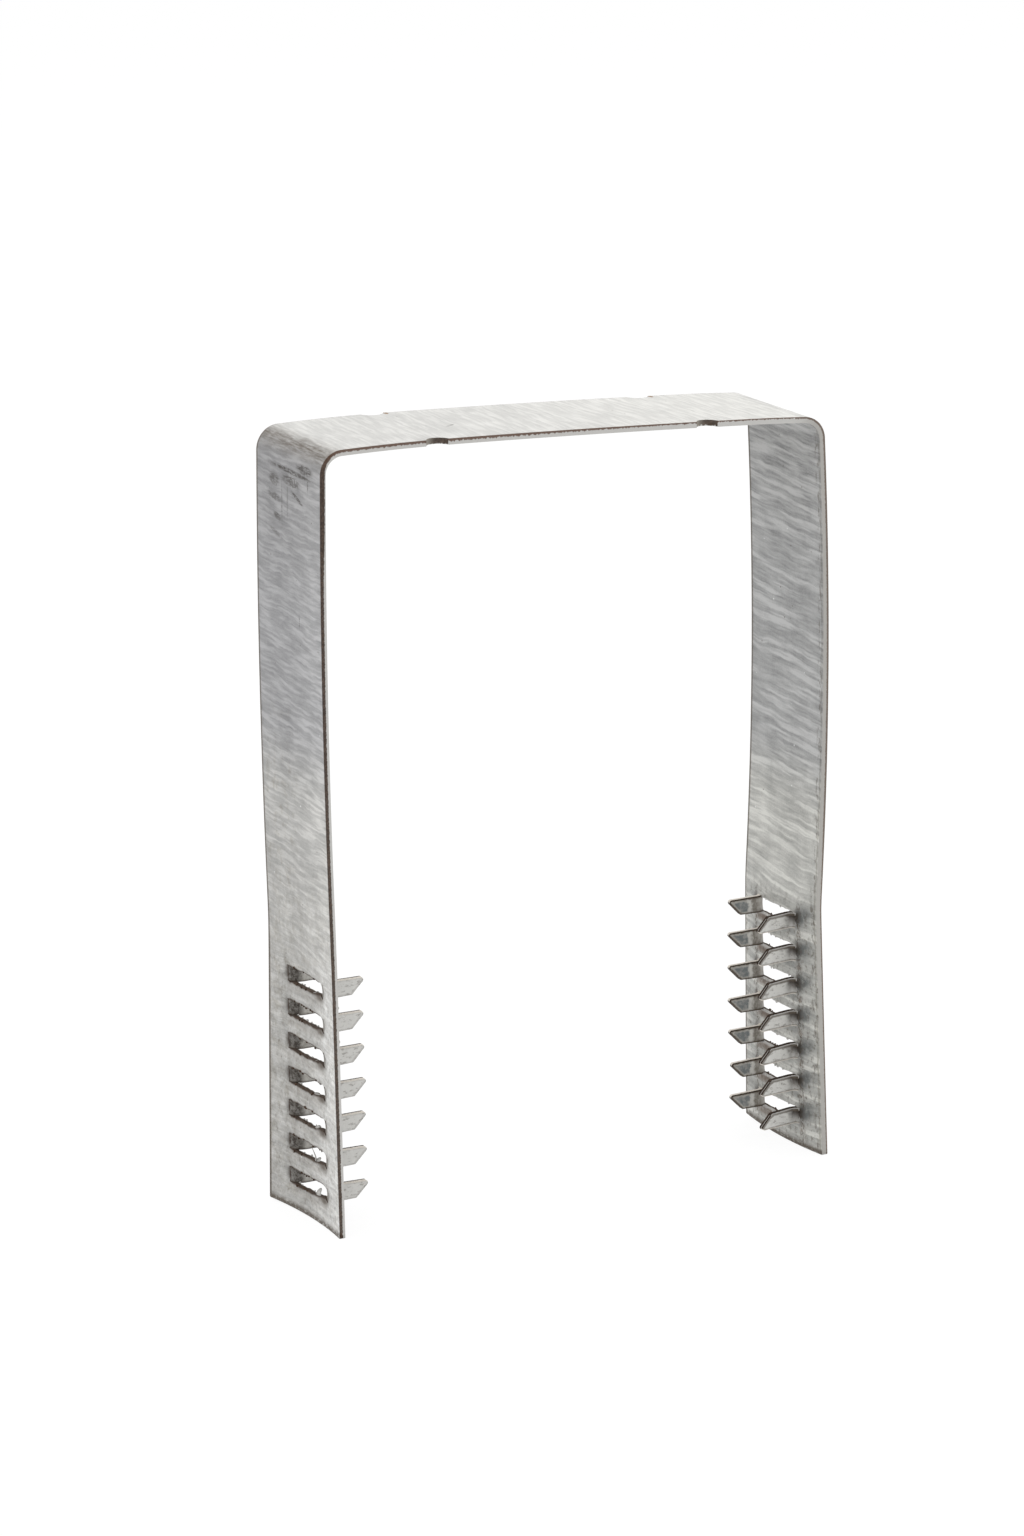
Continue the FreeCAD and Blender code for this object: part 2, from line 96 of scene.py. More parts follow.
@dataclass(frozen=True)
class StrapSizes:
    """Sizes of the folded strip, in metres.

    Down to the notches they are the part's own. The rest, from the foot corners on, is changed or
    added here.
    """

    inside_width: float = 90.0 * MM
    width: float = 25.0 * MM
    thickness: float = 1.0 * MM
    left_height: float = 131.5 * MM
    right_height: float = 128.5 * MM
    bend_radius: float = 3.0 * MM
    flat_height: float = 50.0 * MM
    cupped_height: float = 44.0 * MM
    cup_depth: float = 1.0 * MM
    notch_spacing: float = 49.2 * MM
    notch_radius: float = 2.1 * MM
    notch_depth: float = 1.5 * MM
    foot_corner_radius: float = 0.25 * MM
    notch_shift: float = -0.6 * MM
    crown: float = 0.44 * MM
    crown_place: float = -8.0 * MM
    head_twist: float = math.radians(-0.65)
    bar_tilt: float = math.radians(0.6)
    rim_round: float = 0.08 * MM
    settle_scale: float = 0.997
    settle_shift: float = 0.137 * MM
    settle_lift: float = 0.01 * MM

    @property
    def half_outside(self) -> float:
        """From the middle to a leg's outer face."""
        return self.inside_width / 2 + self.thickness

    @property
    def half_width(self) -> float:
        """Half the strip's width."""
        return self.width / 2

    @property
    def slope(self) -> float:
        """The bar's fall towards the right leg, as a tangent."""
        return (self.left_height - self.right_height) / (2 * self.half_outside)

    @property
    def cup_radius(self) -> float:
        """Radius of the cupped strip's section."""
        return (self.half_width ** 2 + self.cup_depth ** 2) / (2 * self.cup_depth)

    @property
    def notch_places(self) -> tuple[float, float]:
        """Where the notches' centres are along X."""
        half = self.notch_spacing / 2
        return self.notch_shift - half, self.notch_shift + half

    def leg(self, side: Side) -> LegShape:
        """The shape of the leg on this side."""
        return LEFT_SHAPE if side is Side.LEFT else RIGHT_SHAPE


@dataclass(frozen=True)
class ToothSizes:
    """Sizes of the slots and teeth, in metres: the part's own, but for a tooth's short side and the rims."""

    count: int = 7
    pitch: float = 5.8 * MM
    foot_margin: float = 4.0 * MM
    slot_height: float = 2.7 * MM
    slot_length: float = 13.6 * MM
    shear_gap: float = 0.05 * MM
    root_radius: float = 1.0 * MM
    long_reach: float = 7.3 * MM
    short_reach: float = 4.65 * MM
    draft: float = 0.12 * MM
    tip_radius: float = 0.35 * MM
    rim_round: float = 0.07 * MM

    @property
    def half_slot(self) -> float:
        """From the strip's middle to a fold line."""
        return self.slot_length / 2

    def slot_edges(self, lift: float) -> list[float]:
        """Heights of the slots' lower and upper sides, from the leg's end up.

        Args:
            lift: how much higher this leg's slots are than the drawn ones.

        Returns:
            Lower and upper side of each slot in turn.
        """
        edges = []
        for index in range(self.count):
            low = self.foot_margin + lift + index * self.pitch
            edges += [low, low + self.slot_height]
        return edges


@dataclass(frozen=True)
class RowShape:
    """How the teeth of one row differ from the drawn tooth.

    Height and reach are factors, the droop is in radians and the lift in metres.
    """

    side: Side
    back: bool
    height: float = 1.0
    reach: float = 1.0
    droop: float = 0.01
    lift: float = 0.0


ROWS = (
    RowShape(Side.LEFT, back=False, height=1.15, reach=1.03, lift=-0.25 * MM),
    RowShape(Side.LEFT, back=True, height=1.04),
    RowShape(Side.RIGHT, back=False, height=1.06, droop=0.06),
    RowShape(Side.RIGHT, back=True, height=1.12, reach=0.965, droop=0.0, lift=0.15 * MM),
)


class Flow:
    """A node's output, so that a tree is written as a formula. A comparison gives 1 or 0."""

    def __init__(self, nodes: "Nodes", socket: bpy.types.NodeSocket) -> None:
        """Hold a socket and the tree that it belongs to."""
        self.nodes = nodes
        self.socket = socket

    def __add__(self, other: Value) -> "Flow":
        """The sum."""
        return self.nodes.math("ADD", self, other)

    def __radd__(self, other: float) -> "Flow":
        """The sum, with a plain number first."""
        return self.nodes.math("ADD", other, self)

    def __sub__(self, other: Value) -> "Flow":
        """The difference."""
        return self.nodes.math("SUBTRACT", self, other)

    def __rsub__(self, other: float) -> "Flow":
        """A plain number less this."""
        return self.nodes.math("SUBTRACT", other, self)

    def __mul__(self, other: Value) -> "Flow":
        """The product."""
        return self.nodes.math("MULTIPLY", self, other)

    def __truediv__(self, other: Value) -> "Flow":
        """The quotient."""
        return self.nodes.math("DIVIDE", self, other)

    def __gt__(self, other: Value) -> "Flow":
        """Where this is the greater."""
        return self.nodes.math("GREATER_THAN", self, other)

    def __lt__(self, other: Value) -> "Flow":
        """Where this is the lesser."""
        return self.nodes.math("LESS_THAN", self, other)

    def __abs__(self) -> "Flow":
        """The size without the sign."""
        return self.nodes.math("ABSOLUTE", self)

    def ramp(self, low: Value, high: Value, start: Value = 0.0, end: Value = 1.0) -> "Flow":
        """A smooth step from start to end while this goes from low to high."""
        limits = {"Value": self, "From Min": low, "From Max": high, "To Min": start, "To Max": end}
        return self.nodes.take("ShaderNodeMapRange", limits, "Result", interpolation_type="SMOOTHSTEP")

    def between(self, start: float, end: float) -> "Flow":
        """A smooth step from start to end while this goes from 0 to 1."""
        return self.ramp(0.0, 1.0, start, end)

    def hump(self, middle: float, reach: float) -> "Flow":
        """1 where this is at the middle, falling to 0 over a few times the reach."""
        away = (self - middle) / reach
        return self.nodes.math("EXPONENT", away * away * -1.0)

    def signed(self, reach: float) -> "Flow":
        """This, when it is noise, as a shift that is as often negative as positive."""
        return (self - 0.5) * reach


class Nodes:
    """Adds nodes to a tree and links them."""

    def __init__(self, tree: bpy.types.NodeTree) -> None:
        """Start adding to a shader or geometry node tree."""
        self.tree = tree

    def add(self, kind: str, inputs: dict[Any, Value] | None = None, **settings: Any) -> bpy.types.Node:
        """Add a node.

        Args:
            kind: the node's type name.
            inputs: values or flows for its inputs, by name or number.
            settings: the node's own properties.

        Returns:
            The new node.
        """
        node = self.tree.nodes.new(kind)
        for name, setting in settings.items():
            setattr(node, name, setting)
        for key, value in (inputs or {}).items():
            self.feed(node.inputs[key], value)
        return node

    def feed(self, socket: bpy.types.NodeSocket, value: Value) -> None:
        """Link a socket to a flow, or set its plain value."""
        if isinstance(value, Flow):
            self.tree.links.new(value.socket, socket)
        else:
            socket.default_value = value

    def take(self, kind: str, inputs: dict[Any, Value] | None = None, output: int | str = 0,
             **settings: Any) -> Flow:
        """Add a node and take one of its outputs, by name or number."""
        return Flow(self, self.add(kind, inputs, **settings).outputs[output])

    def math(self, operation: str, *values: Value, clamp: bool = False) -> Flow:
        """A Math node's result for these values."""
        return self.take("ShaderNodeMath", dict(enumerate(values)), operation=operation, use_clamp=clamp)

    def least(self, first: Value, second: Value) -> Flow:
        """The lesser of two."""
        return self.math("MINIMUM", first, second)

    def most(self, first: Value, second: Value) -> Flow:
        """The greater of two."""
        return self.math("MAXIMUM", first, second)

    def off_grid(self, steps: Flow, last: Value) -> Flow:
        """How far a count of steps is from the nearest whole one that is from 0 to the last."""
        return steps - self.least(self.most(self.math("ROUND", steps), 0.0), last)

    def vector(self, operation: str, *values: Value) -> Flow:
        """A Vector Math node's vector result for these values."""
        return self.take("ShaderNodeVectorMath", dict(enumerate(values)), operation=operation)

    def split(self, value: Flow) -> tuple[Flow, Flow, Flow]:
        """The three parts of a vector."""
        outputs = self.add("ShaderNodeSeparateXYZ", {0: value}).outputs
        return Flow(self, outputs[0]), Flow(self, outputs[1]), Flow(self, outputs[2])

    def join(self, x: Value, y: Value, z: Value) -> Flow:
        """A vector from its three parts."""
        return self.take("ShaderNodeCombineXYZ", {0: x, 1: y, 2: z})


@dataclass
class FoldPath:
    """The line that the strip's outer face follows, from the left leg's end to the right leg's end."""

    sizes: StrapSizes
    leg_step: float = 2.0 * MM
    fold_step: float = 0.12 * MM
    points: list[Vector] = field(default_factory=list)
    lengths: list[float] = field(default_factory=list)

    def __post_init__(self) -> None:
        """Work out the points and the length along them."""
        left, left_mark = self.leg(Side.LEFT)
        right, right_mark = self.leg(Side.RIGHT)
        self.points = left + self.bar(left[-1].x, right[-1].x) + right[::-1]
        self.lengths = [0.0]
        for start, end in zip(self.points, self.points[1:]):
            self.lengths.append(self.lengths[-1] + (end - start).length)
        first_right = len(self.points) - len(right)
        self.left_fold = (self.lengths[left_mark], self.lengths[len(left) - 1])
        self.right_fold = (self.lengths[first_right], self.lengths[-1 - right_mark])

    @property
    def total(self) -> float:
        """The strip's length from end to end."""
        return self.lengths[-1]

    def bar_height(self, x: float) -> float:
        """Height of the bar's top face: sloping, a little crowned, and lower beside the folds."""
        sizes = self.sizes
        shape = sizes.leg(Side.LEFT if x < 0 else Side.RIGHT)
        line = (sizes.left_height + sizes.right_height) / 2 - sizes.slope * x
        crown = sizes.crown * (1 - ((x - sizes.crown_place) / sizes.half_outside) ** 2)
        reach = max(0.0, abs(x) - (sizes.half_outside - shape.dip_span)) / shape.dip_span
        return line + crown - shape.dip * reach ** 2

    def leg_out(self, side: Side, z: float) -> float:
        """How far the leg's outer face stands from the middle at this height."""
        sizes, shape = self.sizes, self.sizes.leg(side)
        lower = sizes.half_outside + shape.foot_out
        lower += (shape.knee_out - shape.foot_out) * z / shape.knee_height
        share = (z - shape.knee_height) / (sizes.right_height - shape.knee_height)
        upper = sizes.half_outside + shape.knee_out + (shape.head_out - shape.knee_out) * share
        upper += 4 * shape.bow * share * (1 - share)
        gap = math.hypot(lower - upper, shape.knee_round)
        return (lower + upper + gap) / 2

    def leg(self, side: Side) -> tuple[list[Vector], int]:
        """One leg with its fold, from the foot up.

        Args:
            side: which leg.

        Returns:
            The points, and the number of the one where the fold starts.
        """
        radius = self.sizes.bend_radius + self.sizes.thickness
        high, near = self.sizes.right_height - radius, self.sizes.half_outside - radius
        for _ in range(40):
            lean = (self.leg_out(side, high + MM) - self.leg_out(side, high - MM)) / (2 * MM)
            fall = (self.bar_height(side.value * (near + MM)) - self.bar_height(side.value * near)) / MM
            start, end = -math.atan(lean), math.pi / 2 + math.atan(fall)
            centre_x = self.leg_out(side, high) - radius * math.cos(start)
            centre_z = self.bar_height(side.value * near) - radius * math.sin(end)
            high = centre_z + radius * math.sin(start)
            near = centre_x + radius * math.cos(end)
        points = [Vector((self.leg_out(side, z), 0.0, z)) for z in self.steps(0.0, high, self.leg_step)]
        mark = len(points) - 1
        for turn in self.steps(start, end, self.fold_step / radius)[1:]:
            x, z = centre_x + radius * math.cos(turn), centre_z + radius * math.sin(turn)
            points.append(Vector((x, 0.0, z)))
        return [Vector((side.value * point.x, 0.0, point.z)) for point in points], mark

    def bar(self, left_x: float, right_x: float) -> list[Vector]:
        """The bar's points between the folds."""
        places = self.steps(left_x, right_x, MM)[1:-1]
        return [Vector((x, 0.0, self.bar_height(x))) for x in places]

    def length_at(self, x: float) -> float:
        """The length along the path where the bar passes this x."""
        for index, (start, end) in enumerate(zip(self.points, self.points[1:])):
            if start.x <= x <= end.x and start.z > self.sizes.right_height / 2:
                share = (x - start.x) / (end.x - start.x)
                return self.lengths[index] + share * (end - start).length
        raise ValueError(f"the bar doesn't pass {x}")

    @staticmethod
    def steps(low: float, high: float, step: float) -> list[float]:
        """Even places from low to high, both included, no more than a step apart."""
        count = max(1, math.ceil(abs(high - low) / step - 1e-9))
        return [low + (high - low) * index / count for index in range(count + 1)]

    def as_curve(self) -> bpy.types.Object:
        """The path as a curve object, for the folding tree to sample."""
        curve = bpy.data.curves.new("fold_path", "CURVE")
        curve.dimensions = "3D"
        curve.twist_mode = "Z_UP"
        spline = curve.splines.new("POLY")
        spline.points.add(len(self.points) - 1)
        for place, point in zip(spline.points, self.points):
            place.co = (*point, 1.0)
        return in_scene("fold_path", curve)


@dataclass(frozen=True)
class Sliver:
    """A torn, curled bit of metal on the left leg, level with one of its slots. Metres, on the flat strip."""

    slot: int
    rise: float
    across: float = -2.9 * MM
    width: float = 0.5 * MM
    thickness: float = 0.4 * MM
    depth: float = 0.3 * MM
    curl: float = 0.35 * MM
    start: float = -0.15 * MM
    ring_count: int = 8
    side_count: int = 8

    def add_to(self, mesh: bmesh.types.BMesh, low: float) -> None:
        """Add the sliver, as a bent and tapered bit of its own, above a slot's lower side."""
        rings = []
        for share in FoldPath.steps(0.0, 1.0, 1 / self.ring_count):
            size = math.sqrt(1 - share ** 2) + 0.12
            across = self.across + self.curl * math.sin(4.0 * share)
            depth = self.depth + self.curl * share
            ring = []
            for index in range(self.side_count):
                turn = 2 * math.pi * index / self.side_count
                ring.append(mesh.verts.new((
                    low + self.start + (self.rise - self.start) * share,
                    across + self.width / 2 * size * math.cos(turn),
                    depth + self.thickness / 2 * size * math.sin(turn))))
            rings.append(ring)
        for first, second in zip(rings, rings[1:]):
            for index in range(self.side_count):
                after = (index + 1) % self.side_count
                mesh.faces.new((first[index], second[index], second[after], first[after]))
        mesh.faces.new(rings[0])
        mesh.faces.new(rings[-1][::-1])


SLIVERS = (
    Sliver(0, 1.5 * MM, width=1.5 * MM),
    Sliver(1, 1.0 * MM, width=1.4 * MM),
    Sliver(1, 2.5 * MM, across=-1.9 * MM, width=0.35 * MM, thickness=0.2 * MM, curl=-0.5 * MM),
    Sliver(2, 0.75 * MM, width=1.2 * MM),
    Sliver(3, 0.5 * MM, width=2.0 * MM),
    Sliver(4, 0.4 * MM, width=1.0 * MM),
    Sliver(6, 0.4 * MM, width=1.2 * MM),
    Sliver(5, 0.35 * MM, across=-12.2 * MM, width=0.3 * MM, depth=1.0 * MM, curl=0.1 * MM),
    Sliver(6, 0.25 * MM, across=-12.2 * MM, width=0.3 * MM, depth=1.0 * MM, curl=0.05 * MM),
)


@dataclass
class StrapBlank:
    """The flat strip as the press leaves it: slots and notches cut, nothing folded yet."""

    sizes: StrapSizes
    teeth: ToothSizes
    path: FoldPath
    plain_step: float = 2.0 * MM
    fold_step: float = 0.3 * MM
    arc_count: int = 12
    slot_columns: int = 16
    slot_rows: int = 3
    jag: float = 0.12 * MM
    right_jag: float = 0.075 * MM
    front_rise: float = 0.55 * MM
    seed: int = 11

    def leg_at(self, place: float) -> tuple[LegShape, float]:
        """The leg that a place along the strip belongs to, and its distance from that leg's end."""
        if place < self.path.total / 2:
            return self.sizes.leg(Side.LEFT), place
        return self.sizes.leg(Side.RIGHT), self.path.total - place

    def edge_at(self, place: float) -> float:
        """Half the strip's width at a place along it, less where a notch or a rounded foot is cut."""
        sizes = self.sizes
        from_end = self.leg_at(place)[1]
        radius = sizes.foot_corner_radius
        if from_end < radius:
            return sizes.half_width - radius + math.sqrt(max(0.0, radius ** 2 - (radius - from_end) ** 2))
        for x in sizes.notch_places:
            away = abs(place - self.path.length_at(x))
            if away < sizes.notch_radius:
                rise = math.sqrt(sizes.notch_radius ** 2 - away ** 2)
                centre = sizes.half_width + sizes.notch_radius - sizes.notch_depth
                return min(sizes.half_width, centre - rise)
        return sizes.half_width

    def leg_rows(self, side: Side) -> list[float]:
        """Distances from a leg's end where the mesh has a row across, up to where the strip is flat."""
        sizes, steps = self.sizes, FoldPath.steps
        radius = sizes.foot_corner_radius
        rows = [radius * (1 - math.cos(math.pi / 2 * share)) for share in steps(0, 1, 0.2)]
        marks = [radius, *self.teeth.slot_edges(sizes.leg(side).slot_lift), sizes.cupped_height]
        for low, high in zip(marks, marks[1:]):
            rows += steps(low, high, self.teeth.slot_height / self.slot_rows)
        return rows + steps(sizes.cupped_height, sizes.flat_height, 0.75 * MM)

    def rows(self) -> list[float]:
        """Places along the strip where the mesh has a row across."""
        sizes, path, steps = self.sizes, self.path, FoldPath.steps
        rows = self.leg_rows(Side.LEFT) + [path.total - place for place in self.leg_rows(Side.RIGHT)]
        rows += steps(sizes.flat_height, path.left_fold[0], self.plain_step)
        rows += steps(*path.left_fold, self.fold_step)
        rows += steps(path.total - sizes.flat_height, path.right_fold[1], self.plain_step)
        rows += steps(*path.right_fold, self.fold_step)
        chord = math.sqrt(sizes.notch_radius ** 2 - (sizes.notch_radius - sizes.notch_depth) ** 2)
        turn = math.asin(chord / sizes.notch_radius)
        marks = [path.left_fold[1]]
        for x in sizes.notch_places:
            middle = path.length_at(x)
            turns = steps(-turn, turn, turn / self.arc_count)
            rows += [middle + sizes.notch_radius * math.sin(angle) for angle in turns]
            marks += [middle - chord, middle + chord]
        marks.append(path.right_fold[0])
        for low, high in zip(marks[::2], marks[1::2]):
            rows += steps(low, high, self.plain_step)
        return self.without_doubles(rows)

    @staticmethod
    def without_doubles(places: Sequence[float]) -> list[float]:
        """The places in order, each once."""
        kept: list[float] = []
        for place in sorted(places):
            if not kept or place - kept[-1] > 0.01 * MM:
                kept.append(place)
        return kept

    def columns(self) -> list[tuple[float, float]]:
        """Places across the strip, as a share of the slot's half length and of what lies outside it."""
        inner = [(share, 0.0) for share in FoldPath.steps(-1.0, 1.0, 2 / self.slot_columns)]
        outer = [0.15, 0.35, 0.6, 0.85, 0.95, 1.0]
        return [(-1.0, -share) for share in outer[::-1]] + inner + [(1.0, share) for share in outer]

    def on_slot_side(self, place: float, across: float) -> bool:
        """Whether a point of the flat strip lies on a slot's upper or lower side."""
        shape, from_end = self.leg_at(place)
        near = any(abs(edge - from_end) < 0.02 * MM for edge in self.teeth.slot_edges(shape.slot_lift))
        return near and abs(across) < self.teeth.half_slot * 0.95

    def in_slot(self, place: float, across: float) -> bool:
        """Whether a point of the flat strip lies in a slot."""
        shape, from_end = self.leg_at(place)
        edges = self.teeth.slot_edges(shape.slot_lift)
        within = any(low < from_end < high for low, high in zip(edges[::2], edges[1::2]))
        return within and abs(across) < self.teeth.half_slot

    def corner_web(self, corners: list[bmesh.types.BMVert], middle: Vector) -> list[bmesh.types.BMVert]:
        """What stays of a cell inside a slot: half of it in the upper front corner, else nothing."""
        toward_bar = 1 if middle.x < self.path.total / 2 else -1
        column = 2 * self.teeth.half_slot / self.slot_columns
        row = self.teeth.slot_height / self.slot_rows
        is_front = middle.y < column - self.teeth.half_slot
        if not is_front or self.in_slot(middle.x + toward_bar * row, middle.y):
            return []
        spare = corners[3] if toward_bar > 0 else corners[2]
        return [corner for corner in corners if corner is not spare]

    def cut_shift(self, place: float, across: float) -> float:
        """How far a point near a leg's end moves, because that end isn't cut square."""
        shape, from_end = self.leg_at(place)
        share = max(0.0, 1 - from_end / self.teeth.foot_margin)
        toward_bar = 1.0 if place < self.path.total / 2 else -1.0
        return toward_bar * share * shape.foot_cut * (across + self.sizes.half_width) / self.sizes.width

    def build(self) -> bpy.types.Object:
        """Make the flat strip: X along it, Y across it, Z from the outer face to the inner face."""
        mesh = bmesh.new()
        rows, columns = self.rows(), self.columns()
        half_slot = self.teeth.half_slot
        grid = []
        for place in rows:
            edge = self.edge_at(place)
            across = [inner * half_slot + outer * (edge - half_slot) for inner, outer in columns]
            grid.append([mesh.verts.new((place, y, 0.0)) for y in across])
        for low, high in zip(grid, grid[1:]):
            for index in range(len(columns) - 1):
                corners = [low[index], high[index], high[index + 1], low[index + 1]]
                middle = sum((corner.co for corner in corners), Vector()) / 4
                if self.in_slot(middle.x, middle.y):
                    corners = self.corner_web(corners, middle)
                if corners:
                    mesh.faces.new(corners)
        bmesh.ops.delete(mesh, geom=[vert for vert in mesh.verts if not vert.link_faces], context="VERTS")
        self.tear_sides(mesh)
        self.thicken(mesh, self.sizes.thickness)
        self.round_rims(mesh, self.sizes.rim_round, half_slot)
        for sliver in SLIVERS:
            low = self.teeth.slot_edges(self.sizes.leg(Side.LEFT).slot_lift)[2 * sliver.slot]
            sliver.add_to(mesh, low)
        return as_object(mesh, "strap_blank")

    def tear_sides(self, mesh: bmesh.types.BMesh) -> None:
        """Make the slots' sides uneven and the legs' ends as slanted as they were cut."""
        chance = random.Random(self.seed)
        for vert in mesh.verts:
            place, across = vert.co.x, vert.co.y
            if self.on_slot_side(place, across):
                jag = self.jag if place < self.path.total / 2 else self.right_jag
                vert.co.x += chance.uniform(-jag, jag)
            vert.co.x += self.rise_at(place, across)
            vert.co.x += self.cut_shift(place, across)

    def rise_at(self, place: float, across: float) -> float:
        """How far the lower side of a slot rises towards its front end, where a tooth dragged it up."""
        shape, from_end = self.leg_at(place)
        lows = self.teeth.slot_edges(shape.slot_lift)[::2]
        if abs(across) > self.teeth.half_slot or all(abs(low - from_end) > 0.02 * MM for low in lows):
            return 0.0
        share = min(1.0, max(0.0, -across / self.teeth.half_slot - 0.1) / 0.75)
        return self.front_rise * share if place < self.path.total / 2 else 0.0

    @staticmethod
    def thicken(mesh: bmesh.types.BMesh, thickness: float) -> None:
        """Give a flat sheet at Z 0 its thickness, with walls along every open edge."""
        sheet = mesh.faces[:]
        open_edges = [edge for edge in mesh.edges if edge.is_boundary]
        copied = bmesh.ops.duplicate(mesh, geom=sheet + mesh.edges[:] + mesh.verts[:])
        twins = {low: high for low, high in copied["vert_map"].items()}
        for vert in [item for item in copied["geom"] if isinstance(item, bmesh.types.BMVert)]:
            vert.co.z = thickness
        for edge in open_edges:
            first, second = edge.verts
            mesh.faces.new((first, second, twins[second], twins[first]))
        bmesh.ops.recalc_face_normals(mesh, faces=mesh.faces[:])

    @staticmethod
    def round_rims(mesh: bmesh.types.BMesh, radius: float, fold_line: float | None) -> None:
        """Break the sharp rims between the faces and the cut walls.

        Args:
            mesh: the flat, thick sheet.
            radius: how far the rounding reaches from the rim.
            fold_line: walls this far from the middle line, inside the strip, stay sharp for the teeth.
        """
        rims = []
        for edge in mesh.edges:
            if len(edge.link_faces) != 2 or edge.calc_face_angle() < math.radians(60):
                continue
            if abs(edge.verts[0].co.z - edge.verts[1].co.z) > MM * 0.1:
                continue
            at_fold = fold_line is not None and all(abs(abs(v.co.y) - fold_line) < 1e-6 for v in edge.verts)
            if not at_fold:
                rims.append(edge)
        bmesh.ops.bevel(mesh, geom=rims, offset=radius, segments=2, affect="EDGES", clamp_overlap=True)


@dataclass
class ToothBlank:
    """One tooth, flat: X away from its fold line, Y along the leg, Z from outer to inner face."""

    strap: StrapSizes
    teeth: ToothSizes

    @property
    def fold_length(self) -> float:
        """Flat length of the quarter fold, on its middle line."""
        return (self.teeth.root_radius + self.strap.thickness / 2) * math.pi / 2

    @property
    def root_half(self) -> float:
        """Half the tooth's height at its fold line."""
        return self.teeth.slot_height / 2 - self.teeth.shear_gap

    def corners(self) -> tuple[Vector, Vector]:
        """The tip's far corner, at low Y, and its near corner."""
        teeth = self.teeth
        tip = self.root_half - teeth.draft
        straight = self.fold_length - teeth.root_radius
        return Vector((straight + teeth.long_reach, -tip, 0)), Vector((straight + teeth.short_reach, tip, 0))

    def rounded(self, before: Vector, corner: Vector, after: Vector) -> list[Vector]:
        """Points of the arc that rounds a corner of the tip."""
        radius = self.teeth.tip_radius
        back, ahead = (before - corner).normalized(), (after - corner).normalized()
        half = back.angle(ahead) / 2
        centre = corner + (back + ahead).normalized() * radius / math.sin(half)
        first = corner + back * radius / math.tan(half) - centre
        last = corner + ahead * radius / math.tan(half) - centre
        return [centre + first.slerp(last, share) * radius for share in FoldPath.steps(0.0, 1.0, 0.2)]

    def build(self) -> bpy.types.Object:
        """Make the flat tooth."""
        mesh = bmesh.new()
        far, near = self.corners()
        low_root, high_root = Vector((0, -self.root_half, 0)), Vector((0, self.root_half, 0))
        low_arc, high_arc = self.rounded(low_root, far, near), self.rounded(high_root, near, far)
        places = FoldPath.steps(0.0, self.fold_length, self.fold_length / 12)
        places += FoldPath.steps(self.fold_length, high_arc[0].x, 0.8 * MM)[1:]
        low_side = [self.on_side(low_root, low_arc[0], x) for x in places] + low_arc
        high_side = [self.on_side(high_root, high_arc[0], x) for x in places] + high_arc
        shares = FoldPath.steps(0.0, 1.0, 1 / 6)
        grid = [[mesh.verts.new(low.lerp(high, share)) for share in shares]
                for low, high in zip(low_side, high_side)]
        for first, second in zip(grid, grid[1:]):
            for index in range(len(shares) - 1):
                mesh.faces.new((first[index], second[index], second[index + 1], first[index + 1]))
        bmesh.ops.remove_doubles(mesh, verts=mesh.verts[:], dist=0.002 * MM)
        StrapBlank.thicken(mesh, self.strap.thickness)
        StrapBlank.round_rims(mesh, self.teeth.rim_round, None)
        return as_object(mesh, "tooth_blank")

    @staticmethod
    def on_side(root: Vector, end: Vector, x: float) -> Vector:
        """The point of a tooth's side at this distance from the fold line."""
        return root.lerp(end, x / end.x)


def as_object(mesh: bmesh.types.BMesh, name: str) -> bpy.types.Object:
    """Turn mesh data into an object of the scene.

    Args:
        mesh: the finished mesh data, which is freed.
        name: the object's name.

    Returns:
        The object, smooth shaded.
    """
    for face in mesh.faces:
        face.smooth = True
    data = bpy.data.meshes.new(name)
    mesh.to_mesh(data)
    mesh.free()
    return in_scene(name, data)


def in_scene(name: str, data: bpy.types.ID) -> bpy.types.Object:
    """A new object of the scene that holds this data."""
    made = bpy.data.objects.new(name, data)
    bpy.context.scene.collection.objects.link(made)
    return made


@dataclass
class PressTool:
    """What the press is set to: the values for the folding tree's inputs."""

    strap: StrapSizes
    teeth: ToothSizes
    dimple: float = 0.3 * MM
    dimple_reach: float = 1.5 * MM
    nib_share: float = 0.14
    nib_size: float = 0.19 * MM

    def settings(self, total: float, path: bpy.types.Object, tooth: bpy.types.Object,
                 finish: bpy.types.Material) -> dict[str, Value]:
        """The inputs' values by name.

        Args:
            total: the strip's length.
            path: the curve that the strip is folded along.
            tooth: the flat tooth.
            finish: the material of it all.

        Returns:
            The values, in the order of the tree's inputs.
        """
        strap, teeth = self.strap, self.teeth
        left, right = strap.leg(Side.LEFT), strap.leg(Side.RIGHT)
        first = teeth.foot_margin + teeth.slot_height / 2
        return {
            "Thickness": strap.thickness, "Cup Radius": strap.cup_radius, "Cup Depth": strap.cup_depth,
            "Cupped Height": strap.cupped_height, "Flat Height": strap.flat_height, "Total": total,
            "Root Radius": teeth.root_radius, "Half Slot": teeth.half_slot,
            "Slot Half Height": teeth.slot_height / 2, "Pitch": teeth.pitch,
            "Left First": first + left.slot_lift, "Right First": first + right.slot_lift,
            "Head Twist": strap.head_twist, "Left Foot Twist": left.foot_twist,
            "Right Foot Twist": right.foot_twist, "Left Knee": left.knee_height,
            "Right Knee": right.knee_height, "Bar Tilt": math.tan(strap.bar_tilt),
            "Head Height": strap.right_height, "Dimple": self.dimple, "Dimple Reach": self.dimple_reach,
            "Nib Share": self.nib_share, "Nib Size": self.nib_size,
            "Scale": strap.settle_scale, "Shift": strap.settle_shift, "Lift": strap.settle_lift,
            "Count": teeth.count, "Path": path, "Tooth": tooth, "Finish": finish,
        }


